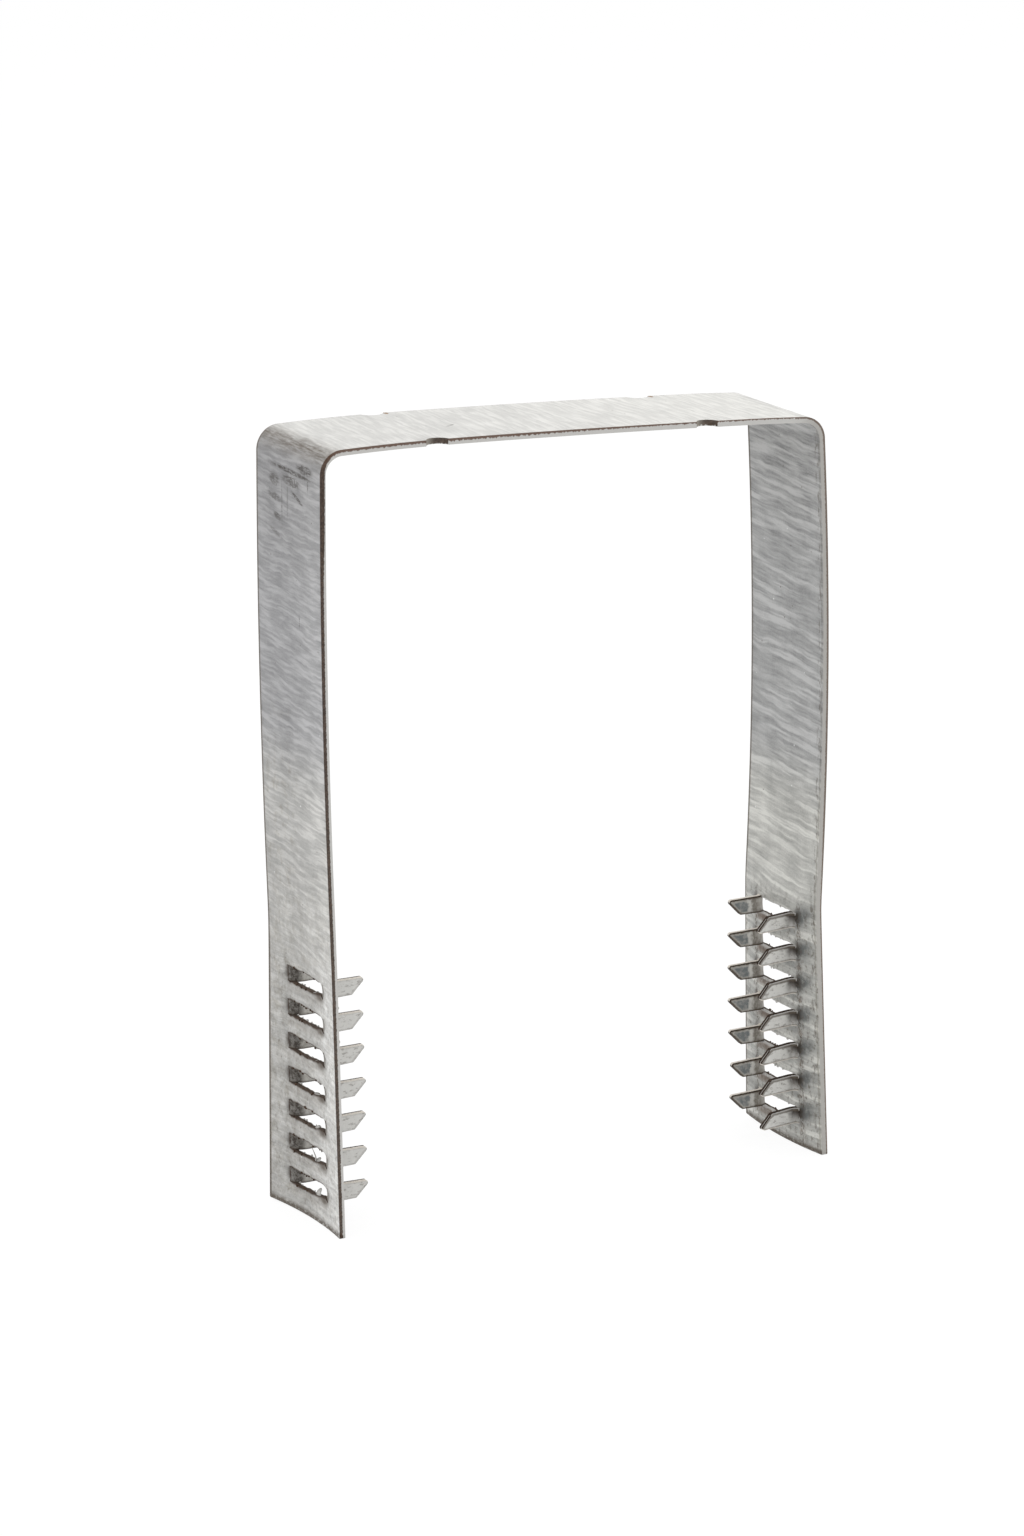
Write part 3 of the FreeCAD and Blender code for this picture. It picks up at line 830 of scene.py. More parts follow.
class PressTree(Nodes):
    """The Geometry Nodes tree that sets the teeth on the flat strip and folds it all along the path."""

    def __init__(self, settings: dict[str, Value], seed: int = 7) -> None:
        """Make the tree's interface.

        Args:
            settings: a value for each input, whose kind the input takes.
            seed: the seed of the chance in the tree.
        """
        super().__init__(bpy.data.node_groups.new("punch_and_fold", "GeometryNodeTree"))
        self.seed = seed
        face = self.tree.interface
        face.new_socket("Geometry", in_out="INPUT", socket_type="NodeSocketGeometry")
        for name, value in settings.items():
            kind = next(kind for sort, kind in SOCKET_KINDS.items() if isinstance(value, sort))
            face.new_socket(name, in_out="INPUT", socket_type=kind)
        face.new_socket("Geometry", in_out="OUTPUT", socket_type="NodeSocketGeometry")
        self.given = {output.name: Flow(self, output) for output in self.add("NodeGroupInput").outputs}

    def build(self) -> bpy.types.NodeTree:
        """Fill the tree: strip, burrs and teeth, made one, folded, settled and given their finish."""
        blank = self.keep_flat_place(self.given["Geometry"], 0.0)
        tooth = self.fold_tooth()
        flat = self.add("GeometryNodeJoinGeometry")
        self.feed(flat.inputs[0], blank)
        self.feed(flat.inputs[0], self.nibs(blank))
        for number, row in enumerate(ROWS):
            teeth = self.tooth_row(tooth, row, self.seed + number)
            # The left leg's back row, whose teeth get painted shade with stain where they fold.
            soiled = float(row.side is Side.LEFT and row.back)
            self.feed(flat.inputs[0], self.store(teeth, "soiled", soiled, "FLOAT", "INSTANCE"))
        real = self.take("GeometryNodeRealizeInstances", {0: Flow(self, flat.outputs[0])})
        settled = self.settle(self.fold_strap(real))
        entries = {"Geometry": settled, "Material": self.given["Finish"]}
        dressed = self.take("GeometryNodeSetMaterial", entries)
        self.add("NodeGroupOutput", {0: dressed})
        return self.tree

    def place(self) -> tuple[Flow, Flow, Flow]:
        """A point's X, Y and Z."""
        return self.split(self.take("GeometryNodeInputPosition"))

    def shape_of(self, name: str) -> Flow:
        """The shape of the object that this input names."""
        return self.take("GeometryNodeObjectInfo", {"Object": self.given[name]}, "Geometry",
                         transform_space="RELATIVE")

    def drawn(self, seed: int, low: Triple, high: Triple) -> Flow:
        """A vector drawn by chance between two, for each point."""
        limits = {"Min": low, "Max": high, "Seed": seed}
        return self.take("FunctionNodeRandomValue", limits, data_type="FLOAT_VECTOR")

    def chance(self, seed: int) -> Flow:
        """A number drawn by chance between 0 and 1, for each point."""
        return self.take("FunctionNodeRandomValue", {"Seed": seed}, 1, data_type="FLOAT")

    def store(self, geometry: Flow, name: str, value: Value, kind: str, domain: str) -> Flow:
        """Store an attribute.

        Args:
            geometry: what gets the attribute.
            name: the attribute's name.
            value: its value or flow.
            kind: its data type.
            domain: where it is kept, such as POINT.

        Returns:
            The geometry with the attribute.
        """
        entries = {"Geometry": geometry, "Name": name, "Value": value}
        return self.take("GeometryNodeStoreNamedAttribute", entries, data_type=kind, domain=domain)

    def keep_flat_place(self, geometry: Flow, tooth: float) -> Flow:
        """Store where each point lies on the flat sheet, and which faces are cut walls.

        Args:
            geometry: the flat blank.
            tooth: 1 on a tooth, 0 on the strip.

        Returns:
            The blank with the attributes flat, cut and tooth.
        """
        facing = self.split(self.take("GeometryNodeInputNormal"))[2]
        kept = self.store(geometry, "flat", self.take("GeometryNodeInputPosition"), "FLOAT_VECTOR", "POINT")
        kept = self.store(kept, "cut", 1.0 - abs(facing), "FLOAT", "FACE")
        return self.store(kept, "tooth", tooth, "FLOAT", "POINT")

    def slot_offset(self, along: Flow) -> Flow:
        """Distance of a place along the strip from the middle of the nearest slot."""
        given = self.given
        from_right = given["Total"] - along
        gap = given["Right First"] - given["Left First"]
        first = given["Left First"] + gap * (from_right < along)
        steps = (self.least(along, from_right) - first) / given["Pitch"]
        return self.off_grid(steps, given["Count"] - 1.0) * given["Pitch"]

    def dimple_at(self, from_fold: Flow, from_middle: Flow) -> Flow:
        """How far the sheet is drawn inward near the root of a tooth."""
        reach = self.given["Dimple Reach"]
        first, second = from_fold / reach, from_middle / reach
        return self.given["Dimple"] * self.math("EXPONENT", (first * first + second * second) * -1.0)

    def fold_tooth(self) -> Flow:
        """Fold the flat tooth a quarter turn: X towards the strip's middle, Y along the leg, Z inward."""
        kept = self.keep_flat_place(self.shape_of("Tooth"), 1.0)
        away, height, depth = self.place()
        neutral = self.given["Root Radius"] + self.given["Thickness"] * 0.5
        axis = self.given["Root Radius"] + self.given["Thickness"]
        turn = self.least(away / neutral, math.pi / 2)
        radius = axis - depth
        beyond = self.most(0.0, away - neutral * (math.pi / 2))
        inward = axis - radius * self.math("COSINE", turn) + self.dimple_at(away, height)
        target = self.join(radius * self.math("SINE", turn), height, inward + beyond)
        return self.take("GeometryNodeSetPosition", {"Geometry": kept, "Position": target})

    def tooth_row(self, tooth: Flow, row: RowShape, seed: int) -> Flow:
        """Seven teeth along one side of a leg's slots, each a little different.

        Args:
            tooth: the folded tooth.
            row: which row, and how it differs from the drawn tooth.
            seed: the seed of the teeth's small differences.

        Returns:
            The row of teeth, as instances on the flat strip.
        """
        given = self.given
        if row.side is Side.LEFT:
            first, step = given["Left First"] + row.lift, given["Pitch"]
        else:
            first, step = given["Total"] - (given["Right First"] + row.lift), given["Pitch"] * -1.0
        fold = given["Half Slot"] * (1.0 if row.back else -1.0)
        line = self.take("GeometryNodeMeshLine", {
            "Count": given["Count"], "Start Location": self.join(first, fold, 0.0),
            "Offset": self.join(step, 0.0, 0.0)})
        quarter = -math.pi / 2 if row.back else math.pi / 2
        lean = self.drawn(seed, (-0.025, -0.02, -0.015), (0.025, 0.02, 0.015))
        change = self.drawn(seed + 20, (0.998, 0.99, 0.975), (1.002, 1.02, 1.02))
        teeth = self.take("GeometryNodeInstanceOnPoints", {
            "Points": line, "Instance": tooth,
            "Rotation": self.vector("ADD", lean, (row.droop, 0.0, quarter)),
            "Scale": self.vector("MULTIPLY", change, (1.0, row.height, row.reach))})
        return self.store(teeth, "chance", self.chance(seed + 40), "FLOAT", "INSTANCE")

    def nibs(self, blank: Flow) -> Flow:
        """Small burrs left along the slots' sides by the punch."""
        given = self.given
        along, across, _ = self.place()
        on_wall = abs(abs(self.slot_offset(along)) - given["Slot Half Height"]) < 0.12 * MM
        inside = abs(across) < given["Half Slot"] * 0.85
        picked = self.chance(self.seed + 60) < given["Nib Share"]
        nib = self.take("GeometryNodeMeshIcoSphere", {"Radius": given["Nib Size"], "Subdivisions": 2})
        return self.take("GeometryNodeInstanceOnPoints", {
            "Points": blank, "Selection": on_wall * inside * picked,
            "Instance": self.store(nib, "cut", 1.0, "FLOAT", "FACE"),
            "Rotation": self.drawn(self.seed + 90, (-0.6, -0.6, -3.0), (0.6, 0.6, 3.0)),
            "Scale": self.drawn(self.seed + 80, (0.5, 0.5, 0.4), (1.9, 1.2, 1.3))})

    def fold_strap(self, geometry: Flow) -> Flow:
        """Lay the flat strip and its teeth along the path, cupped in its toothed lengths."""
        given = self.given
        along, across, depth = self.place()
        entries = {"Curves": self.shape_of("Path"), "Length": along}
        sample = self.add("GeometryNodeSampleCurve", entries, mode="LENGTH").outputs
        place, tangent = Flow(self, sample["Position"]), Flow(self, sample["Tangent"])
        inward = self.vector("NORMALIZE", self.vector("CROSS_PRODUCT", (0.0, 1.0, 0.0), tangent))
        from_end = self.least(along, given["Total"] - along)
        share = from_end.ramp(given["Cupped Height"], given["Flat Height"], 1.0, 0.0)
        on_strip = 1.0 - self.take("GeometryNodeInputNamedAttribute", {"Name": "tooth"}, data_type="FLOAT")
        drawn = self.dimple_at(abs(across) - given["Half Slot"], self.slot_offset(along))
        push = depth + self.cup(across) * share + drawn * on_strip
        moved = self.take("ShaderNodeVectorMath", {0: inward, "Scale": push}, operation="SCALE")
        target = self.vector("ADD", self.vector("ADD", place, moved), self.join(0.0, across, 0.0))
        folded = self.take("GeometryNodeSetPosition", {"Geometry": geometry, "Position": target})
        return self.take("GeometryNodeFlipFaces", {"Mesh": folded})

    def cup(self, across: Flow) -> Flow:
        """How far the cupped strip stands inward at a place across it."""
        radius = self.given["Cup Radius"]
        return self.given["Cup Depth"] - radius + self.math("SQRT", radius * radius - across * across)

    def by_side(self, name: str, is_right: Flow) -> Flow:
        """The input of this name for the leg that a point is on."""
        left = self.given["Left " + name]
        return left + (self.given["Right " + name] - left) * is_right

    def settle(self, geometry: Flow) -> Flow:
        """Twist the legs, tilt the bar, and bring the whole back inside the model's box."""
        given = self.given
        side, across, height = self.place()
        is_right = side > 0.0
        low = self.most(0.0, 1.0 - height / self.by_side("Knee", is_right))
        gain = low * (self.by_side("Foot Twist", is_right) - given["Head Twist"])
        shift = across * self.math("SINE", given["Head Twist"] + gain) * -1.0
        head = height.ramp(given["Head Height"] - 10.0 * MM, given["Head Height"])
        rise = across * (given["Bar Tilt"] * head)
        entries = {"Geometry": geometry, "Offset": self.join(shift, 0.0, rise)}
        bent = self.take("GeometryNodeSetPosition", entries)
        return self.take("GeometryNodeTransform", {
            "Geometry": bent, "Scale": self.join(given["Scale"], given["Scale"], given["Scale"]),
            "Translation": self.join(given["Shift"], 0.0, given["Lift"])})


@dataclass(frozen=True)
class Mark:
    """A smudge, scratch or speck on a face of the strip. Millimetres and radians, on the flat strip."""

    along: float
    across: float
    length: float
    width: float
    turn: float = 0.0
    strength: float = 0.5


OUTER_MARKS = (
    Mark(126.0, -1.2, 15.0, 0.75, 0.03, 1.0),
    Mark(127.1, -6.4, 5.6, 1.5, 0.03, 0.95),
    Mark(124.4, -1.2, 6.4, 1.8, 0.05, 0.85),
    Mark(123.8, 5.4, 3.6, 2.0, 0.1, 0.75),
    Mark(121.0, 5.4, 4.6, 1.3, 0.1, 0.65),
    Mark(122.0, -3.6, 4.2, 0.55, 0.37, 1.0),
    Mark(117.9, 4.2, 2.6, 1.0, 0.2, 0.8),
    Mark(120.6, 2.4, 6.4, 0.55, 1.57, 0.5),
    Mark(121.2, 0.2, 5.4, 0.5, 1.57, 0.4),
    Mark(124.8, -7.7, 2.0, 0.5, 1.57, 0.6),
    Mark(115.2, 5.0, 5.0, 0.7, 0.25, 0.45),
    Mark(102.0, -4.0, 0.3, 1.8, 0.0, 0.7),
    Mark(157.6, -2.0, 2.6, 0.5, 0.9, 0.75),
)


class Painter(Nodes):
    """The strip's shader tree. It knows where on the flat strip it is, and holds the colour painted so far.

    Places are in millimetres. A share, such as inner or on_bar, is 1 where its name is true, else 0.
    """

    def __init__(self, tree: bpy.types.NodeTree, path: FoldPath) -> None:
        """Work out the places and faces that all the finish's layers read.

        Args:
            tree: the material's empty tree.
            path: the strip's path, for its length and the places of its folds.
        """
        super().__init__(tree)
        self.total = path.total / MM
        self.left_fold = (path.left_fold[0] / MM, path.left_fold[1] / MM)
        self.right_fold = (path.right_fold[0] / MM, path.right_fold[1] / MM)
        self.notches = [path.length_at(x) / MM for x in path.sizes.notch_places]
        self.flat = self.vector("MULTIPLY", self.attribute("flat", "Vector"), (1 / MM, 1 / MM, 1 / MM))
        self.along, self.across, self.depth = self.split(self.flat)
        self.from_end = self.least(self.along, self.total - self.along)
        self.is_right = self.along > self.total / 2
        self.tooth = self.attribute("tooth")
        self.on_strip = 1.0 - self.tooth
        self.inner = self.depth.ramp(0.3, 0.7)
        self.outer = 1.0 - self.inner
        self.on_bar = self.from_end.ramp(*self.left_fold)
        self.on_leg = 1.0 - self.on_bar
        self.colour: Flow | None = None

    def attribute(self, name: str, output: str = "Fac") -> Flow:
        """An attribute of the mesh or of the tooth that it belongs to."""
        return self.take("ShaderNodeAttribute", output=output, attribute_name=name)

    def noise(self, pitch: Triple, detail: float = 3.0, rough: float = 0.55, at: Flow | None = None) -> Flow:
        """Noise of its own on each tooth.

        Args:
            pitch: its size along, across and through the strip.
            detail: how many finer layers it has.
            rough: how strong those are.
            at: the place that it reads, the one on the flat strip if none is given.

        Returns:
            The noise, round a middle of 0.5.
        """
        away = self.attribute("chance") * 60.0
        place = self.vector("DIVIDE", self.flat if at is None else at, pitch)
        place = self.vector("ADD", place, self.join(away, away, away))
        entries = {"Vector": place, "Scale": 1.0, "Detail": detail, "Roughness": rough}
        return self.take("ShaderNodeTexNoise", entries, "Fac")

    def mix(self, share: Value, first: Value, second: Value) -> Flow:
        """A colour between two, by a share."""
        pair = [(*entry, 1.0) if isinstance(entry, tuple) else entry for entry in (first, second)]
        return self.take("ShaderNodeMix", {0: share, 6: pair[0], 7: pair[1]}, 2, data_type="RGBA")

    def tinted(self, colour: Flow, share: Value, factor: Triple) -> Flow:
        """A colour multiplied by a factor for red, green and blue, by a share."""
        return self.mix(share, colour, self.vector("MULTIPLY", colour, factor))

    def lay(self, share: Value, colour: Value) -> None:
        """Lay a colour over what is painted so far, by a share."""
        self.colour = self.mix(share, self.colour, colour)

    def tint(self, share: Value, factor: Triple) -> None:
        """Tint what is painted so far, by a share."""
        self.colour = self.tinted(self.colour, share, factor)


@dataclass(frozen=True)
class GalvanisedFinish:
    """Dull zinc with streaks across the strip, stains and painted shade where it was worked, painted light
    and shade on the legs and bar, and brown sheared walls.
    """

    light: Triple = (0.69, 0.682, 0.655)
    dark: Triple = (0.20, 0.2, 0.195)
    # Dark brown for stains and dirt, also used for the painted shade over the left fold.
    stain_and_shade: Triple = (0.095, 0.075, 0.055)
    steel_blue: Triple = (0.175, 0.192, 0.198)
    wall_brown: Triple = (0.04, 0.024, 0.016)
    wall_bright: Triple = (0.56, 0.55, 0.53)
    wall_cream: Triple = (0.78, 0.73, 0.66)
    root_brown: Triple = (0.03, 0.021, 0.014)
    shade_blue: Triple = (0.15, 0.158, 0.156)
    torn: Triple = (0.15, 0.105, 0.075)
    rust: Triple = (0.2, 0.1, 0.03)
    smudge: Triple = (0.06, 0.053, 0.047)
    fleck: Triple = (0.85, 0.86, 0.86)
    wall_grain: Triple = (0.1, 0.065, 0.045)
    right_wall: Triple = (0.3, 0.24, 0.2)
    bar_wall: Triple = (0.2, 0.115, 0.085)
    notch_wall: Triple = (0.42, 0.39, 0.34)
    streak_pitch: float = 0.85
    streak_length: float = 8.0
    inner_contrast: float = 1.0
    outer_contrast: float = 0.88
    bar_contrast: float = 0.5
    roughness: float = 0.46
    metallic: float = 0.3

    def material(self, path: FoldPath, blank: ToothBlank) -> bpy.types.Material:
        """Build the material.

        Args:
            path: the strip's path, for the places of its folds.
            blank: the flat tooth, for the stains on and round it.

        Returns:
            The material.
        """
        made = bpy.data.materials.new("galvanised_steel")
        made.use_nodes = True
        made.node_tree.nodes.clear()
        paint = Painter(made.node_tree, path)
        streaks = self.streaks(paint)
        paint.colour = paint.mix(streaks, self.dark, self.light)
        self.paint_leg_shade_and_bar_light(paint)
        self.fold_shade(paint)
        self.margins(paint)
        self.cut_ends(paint, path.sizes)
        offset, beside = self.slot_place(paint, blank.teeth)
        self.root_stains_and_shade(paint, offset, beside)
        self.slot_dirt(paint, offset, beside)
        self.leg_dirt(paint)
        self.marks(paint)
        self.specks(paint)
        self.tooth_sheet(paint, blank)
        is_wall = paint.attribute("cut").ramp(0.25, 0.55)
        paint.lay(is_wall, self.wall(paint))
        on_face = 1.0 - paint.most(is_wall, abs(paint.across).ramp(12.2, 12.35))
        bump = paint.take("ShaderNodeBump", {"Height": streaks, "Strength": 0.3, "Distance": 0.04 * MM})
        shader = paint.take("ShaderNodeBsdfPrincipled", {
            "Base Color": paint.colour, "Roughness": self.roughness + 0.12 - streaks * 0.16 + is_wall * 0.3,
            "Metallic": on_face * self.metallic, "Specular IOR Level": 0.06 + on_face * 0.44, "Normal": bump})
        paint.add("ShaderNodeOutputMaterial", {0: shader})
        return made

    def streaks(self, paint: Painter) -> Flow:
        """How light the zinc is: wavy streaks across the strip, blotches and a fine grain."""
        inner, from_end = paint.inner, paint.from_end
        sway = paint.noise((16.0, 12.0, 0.7)).signed(1.7) + paint.noise((4.0, 3.0, 0.7)).signed(0.35)
        slant = paint.across * paint.is_right.between(-0.04, 0.05)
        at = paint.join(paint.along + slant + sway, paint.across, paint.depth)
        pitch, length = self.streak_pitch, self.streak_length
        fine = paint.noise((pitch, length, 0.3), 2.0, 0.5, at)
        long = paint.noise((1.25 * pitch, 2.2 * length, 0.3), 1.0, at=at)
        threads = paint.noise((0.4, 5.0, 0.3), at=at)
        blotch = paint.noise((8.0, 6.0, 0.5), 5.0, 0.65)
        grain = paint.noise((0.25, 0.35, 0.5), 2.0)
        weight = from_end.ramp(40.0, 70.0, 0.2, 0.4) * inner.between(1.0, 0.45)
        total = (fine.ramp(0.42, 0.64) - 0.4) * weight + (long.ramp(0.5, 0.64) * inner - 0.2) * 0.36
        total = total + threads.signed(0.75) + blotch.signed(0.8) + grain.signed(0.4)
        total = total + (threads - 0.5) * (from_end.ramp(95.0, 125.0, 0.0, 0.5) * inner)
        contrast = self.outer_contrast + inner * (self.inner_contrast - self.outer_contrast)
        contrast = contrast - paint.on_bar * (self.outer_contrast - self.bar_contrast)
        contrast = contrast * (1.0 - paint.tooth * 0.5)
        return paint.math("ADD", 0.76 - inner * 0.115, total * contrast, clamp=True)

    @staticmethod
    def paint_leg_shade_and_bar_light(paint: Painter) -> None:
        """Painted shade and light: the legs' upper lengths and the outer face, most towards its back edge,
        painted duller, and the bar painted lighter towards the right.
        """
        from_end, outer = paint.from_end, paint.outer
        paint.tint(paint.inner, (0.99, 0.995, 0.975))
        turning = outer * paint.is_right * from_end.ramp(116.0, 122.0)
        shaded_legs = paint.on_leg * (1.0 - turning)
        # Painted shade: the legs darker and bluer above about 60 to 70 mm, and darker again towards the head.
        start = paint.is_right.between(71.0, 58.0)
        paint.tint(from_end.ramp(start, start + 14.0) * shaded_legs, (0.74, 0.745, 0.785))
        paint.tint(from_end.ramp(98.0, 126.0) * shaded_legs, (0.91, 0.905, 0.9))
        # Painted shade: the legs' outer face darker towards its back edge.
        back_shade = paint.across.ramp(-12.0, 2.0, 0.1, 1.0) * outer * shaded_legs
        paint.tint(back_shade * paint.on_strip, (0.825, 0.825, 0.83))
        # Painted light: the bar lighter towards the right fold, where it turns from the lamp.
        sunny = paint.along.ramp(paint.left_fold[1] + 10.0, paint.right_fold[0])
        paint.tint(sunny * paint.on_bar, (1.1, 1.1, 1.09))

    def fold_shade(self, paint: Painter) -> None:
        """Painted shade of the bend: a cloudy dark band over the left fold's outer face."""
        fold = (paint.left_fold[0] + paint.left_fold[1]) / 2
        cloud = paint.noise((0.45, 4.0, 1.0), 4.0, 0.65).ramp(0.3, 0.7, 0.3, 1.0)
        # Painted shade of the bend.
        paint.lay(paint.along.hump(fold + 0.4, 2.0) * cloud * paint.outer, self.stain_and_shade)

    def margins(self, paint: Painter) -> None:
        """A dashed line on the inner front margin, the lit outer front, and the legs' dark back rims."""
        across = paint.across
        dashed = paint.noise((1.5, 1.0, 1.0)).ramp(0.3, 0.52)
        paint.tint(across.hump(-12.0, 0.25) * dashed * paint.inner * paint.on_strip, (0.66, 0.64, 0.6))
        on_left = paint.math("SUBTRACT", paint.on_strip, paint.is_right, clamp=True)
        lit = across.ramp(-1.0, -9.0) * paint.from_end.ramp(50.0, 38.0) * paint.outer * on_left
        paint.tint(lit, (1.22, 1.23, 1.25))
        paint.lay(across.ramp(11.8, 12.2) * paint.on_strip * paint.on_leg * 0.85, self.stain_and_shade)

    def cut_ends(self, paint: Painter, sizes: StrapSizes) -> None:
        """Dirt along the legs' cut ends."""
        dirty = paint.noise((0.6, 1.0, 1.0), 4.0, 0.7).ramp(0.28, 0.52)
        slope = paint.is_right.between(LEFT_SHAPE.foot_cut / sizes.width, RIGHT_SHAPE.foot_cut / sizes.width)
        from_cut = paint.from_end - (paint.across + sizes.half_width / MM) * slope
        paint.lay(from_cut.ramp(1.4, 0.35) * dirty * paint.on_strip, self.stain_and_shade)

    @staticmethod
    def slot_place(paint: Painter, teeth: ToothSizes) -> tuple[Flow, Flow]:
        """How far a place is above the nearest slot's middle, and how far beyond its fold lines."""
        pitch = teeth.pitch / MM
        middle = (teeth.foot_margin + teeth.slot_height / 2) / MM + 0.35
        offset = paint.off_grid((paint.from_end - middle) / pitch, teeth.count - 1.0) * pitch
        return offset, abs(paint.across) - teeth.half_slot / MM

    def root_stains_and_shade(self, paint: Painter, offset: Flow, beside: Flow) -> None:
        """Where the punch bent the teeth out of the strip: bluish fans of painted shade over the dimples,
        specks, brown roots that are partly stain and partly painted shade, and painted shadow with stain
        under each tooth.
        """
        across, inner, on_strip = paint.across, paint.inner, paint.on_strip
        cloud = paint.noise((1.4, 1.6, 1.0), 4.0, 0.65).ramp(0.25, 0.6, 0.35, 1.0)
        # Painted shade: a bluish fan beside each root, over the dimple.
        fan = (offset - beside * 0.4).hump(0.3, 1.8) * beside.ramp(6.8, 0.6)
        fan = fan * beside.ramp(-0.6, 0.2) * across.ramp(-1.0, 1.0, 0.9, 0.3)
        paint.lay(paint.least(fan * cloud * on_strip * inner * 1.45, 1.0), self.shade_blue)
        specked = paint.noise((0.6, 0.4, 1.0), 4.0, 0.7).ramp(0.47, 0.6)
        column = beside.hump(0.6, 0.7) * specked * inner
        paint.lay(column * paint.from_end.ramp(45.0, 42.0) * on_strip, self.stain_and_shade)
        # Brown at the roots: partly stain, partly painted shade in the fold.
        near = (offset - inner * 0.5).hump(0.1, 1.2) * (beside - inner * 0.3).hump(0.0, 0.9)
        spread = paint.least(across.ramp(-1.0, 1.0, 0.35, 0.9) + inner * 0.6, 1.0)
        paint.lay(near * spread * on_strip, self.root_brown)
        corner = offset.hump(-1.3, 0.55) * across.hump(-5.6, 1.7)
        paint.lay(corner * on_strip * paint.outer * 0.95, self.stain_and_shade)
        # Painted shadow under each tooth, mixed with stain.
        under = offset.hump(-2.0, 0.95) * beside.ramp(0.8, -1.0)
        back = across.ramp(-1.5, 2.5)
        shaded = paint.mix(paint.most(back, paint.outer), self.shade_blue, self.torn)
        paint.lay(under * cloud * on_strip * (0.2 + back.between(0.42, 0.8) * inner), shaded)

    def slot_dirt(self, paint: Painter, offset: Flow, beside: Flow) -> None:
        """Grime under the roots and all over the toothed lengths."""
        inner = paint.inner
        grimy = paint.noise((0.9, 0.7, 1.0), 5.0, 0.7).ramp(0.42, 0.58)
        patch = offset.hump(-2.6, 0.9) * beside.hump(0.5, 0.65)
        paint.lay(patch * grimy * inner * paint.on_strip * 0.75, self.torn)
        dirt = paint.noise((1.1, 1.0, 1.0), 6.0, 0.7).ramp(0.5, 0.68)
        paint.lay(paint.from_end.ramp(47.0, 41.0) * dirt * inner.between(0.42, 0.72), self.stain_and_shade)

    def leg_dirt(self, paint: Painter) -> None:
        """The outer face's worn lengths and soft patches, and blotches by the inner face's front edge."""
        inner, outer, on_strip = paint.inner, paint.outer, paint.on_strip
        worn = paint.noise((1.5, 1.7, 1.0), 6.0, 0.75).ramp(0.38, 0.62, 1.0, 0.0)
        outside = outer * paint.from_end.ramp(68.0, 50.0) * on_strip
        paint.tint(outside, (1.12, 1.12, 1.12))
        paint.tint(worn * outside, (0.81, 0.8, 0.78))
        soft = paint.noise((2.4, 2.2, 1.0), 5.0, 0.7).ramp(0.5, 0.66) * paint.across.ramp(-4.0, 3.0)
        paint.tint(soft * on_strip * paint.from_end.ramp(95.0, 75.0) * outer, (0.82, 0.8, 0.76))
        blotch = paint.noise((2.2, 0.8, 1.0), 5.0, 0.7).ramp(0.5, 0.62)
        paint.lay(blotch * paint.across.hump(-11.3, 0.7) * inner * on_strip * 0.75, self.stain_and_shade)

    def marks(self, paint: Painter) -> None:
        """The smudges and scratches on the left leg and the bar, and a rust spot beside each far notch."""
        along, across = paint.along, paint.across
        hatched = paint.most(paint.noise((0.3, 1.8, 1.0)).ramp(0.42, 0.58),
                             paint.noise((1.6, 0.4, 1.0)).ramp(0.48, 0.62))
        total: Value = 0.0
        for mark in OUTER_MARKS:
            cosine, sine = math.cos(mark.turn), math.sin(mark.turn)
            up, over = along - mark.along, across - mark.across
            long_way = (over * cosine + up * sine).hump(0.0, mark.length / 2)
            short_way = (up * cosine - over * sine).hump(0.0, mark.width / 2)
            total = paint.most(total, (long_way * short_way).ramp(0.1, 0.6) * mark.strength)
        paint.lay(total * hatched.between(0.3, 1.0) * paint.outer * paint.on_strip, self.smudge)
        for middle in paint.notches:
            spot = along.hump(middle + 2.25, 0.35) * across.hump(12.0, 0.9)
            paint.lay(spot.ramp(0.2, 0.5), self.rust)

    def specks(self, paint: Painter) -> None:
        """Tiny dark spots and bright flecks."""
        for pitch, size, limit, tone in ((2.6, 0.075, 0.72, self.stain_and_shade), (3.4, 0.06, 0.8, self.fleck)):
            place = paint.vector("DIVIDE", paint.flat, (pitch, pitch, pitch))
            cells = paint.add("ShaderNodeTexVoronoi", {"Vector": place, "Scale": 1.0}).outputs
            near = Flow(paint, cells["Distance"]).ramp(size * 0.6, size, 1.0, 0.0)
            lucky = paint.split(Flow(paint, cells["Color"]))[0] > limit
            paint.lay(near * lucky * 0.7, tone)

    def tooth_sheet(self, paint: Painter, blank: ToothBlank) -> None:
        """Teeth: thin brown outline, stained root with painted shade in its fold, and a blue patch beyond it
        on the outer sheet face.
        """
        away, height, tooth = paint.along, paint.across, paint.tooth
        inner, outer = paint.inner * tooth, paint.outer * tooth
        on_right = paint.split(paint.take("ShaderNodeTexCoord", output="Object"))[0] > 0.0
        soiled = paint.attribute("soiled")
        cloud = paint.noise((0.9, 0.9, 1.0), 4.0, 0.65)
        bent = away + cloud.signed(1.6)
        ragged = self.from_edge(paint, blank) + paint.noise((0.6, 0.6, 1.0)).signed(0.4)
        paint.lay(inner * on_right.between(0.85, 0.75), self.light)
        paint.tint(outer, (0.92, 0.9, 0.86))
        patch = ragged.ramp(0.34, 0.66) * bent.ramp(4.2, 4.6) * (1.0 - soiled)
        paint.lay(patch * outer * cloud.ramp(0.35, 0.6, 0.5, 1.0), self.steel_blue)
        paint.lay(bent.hump(4.0, 0.35) * outer * 0.6, self.light)
        mottle = paint.noise((0.5, 0.7, 1.0), 5.0, 0.7).ramp(0.25, 0.7, 0.45, 1.0)
        root = bent.ramp(3.2, 3.7, 1.0, 0.0) * outer * mottle * bent.ramp(2.0, 2.8, 0.55, 0.85)
        paint.lay(root * soiled.between(1.0, 0.2), self.stain_and_shade)
        paint.lay(outer * soiled * cloud.ramp(0.3, 0.6, 0.6, 0.1), self.light)
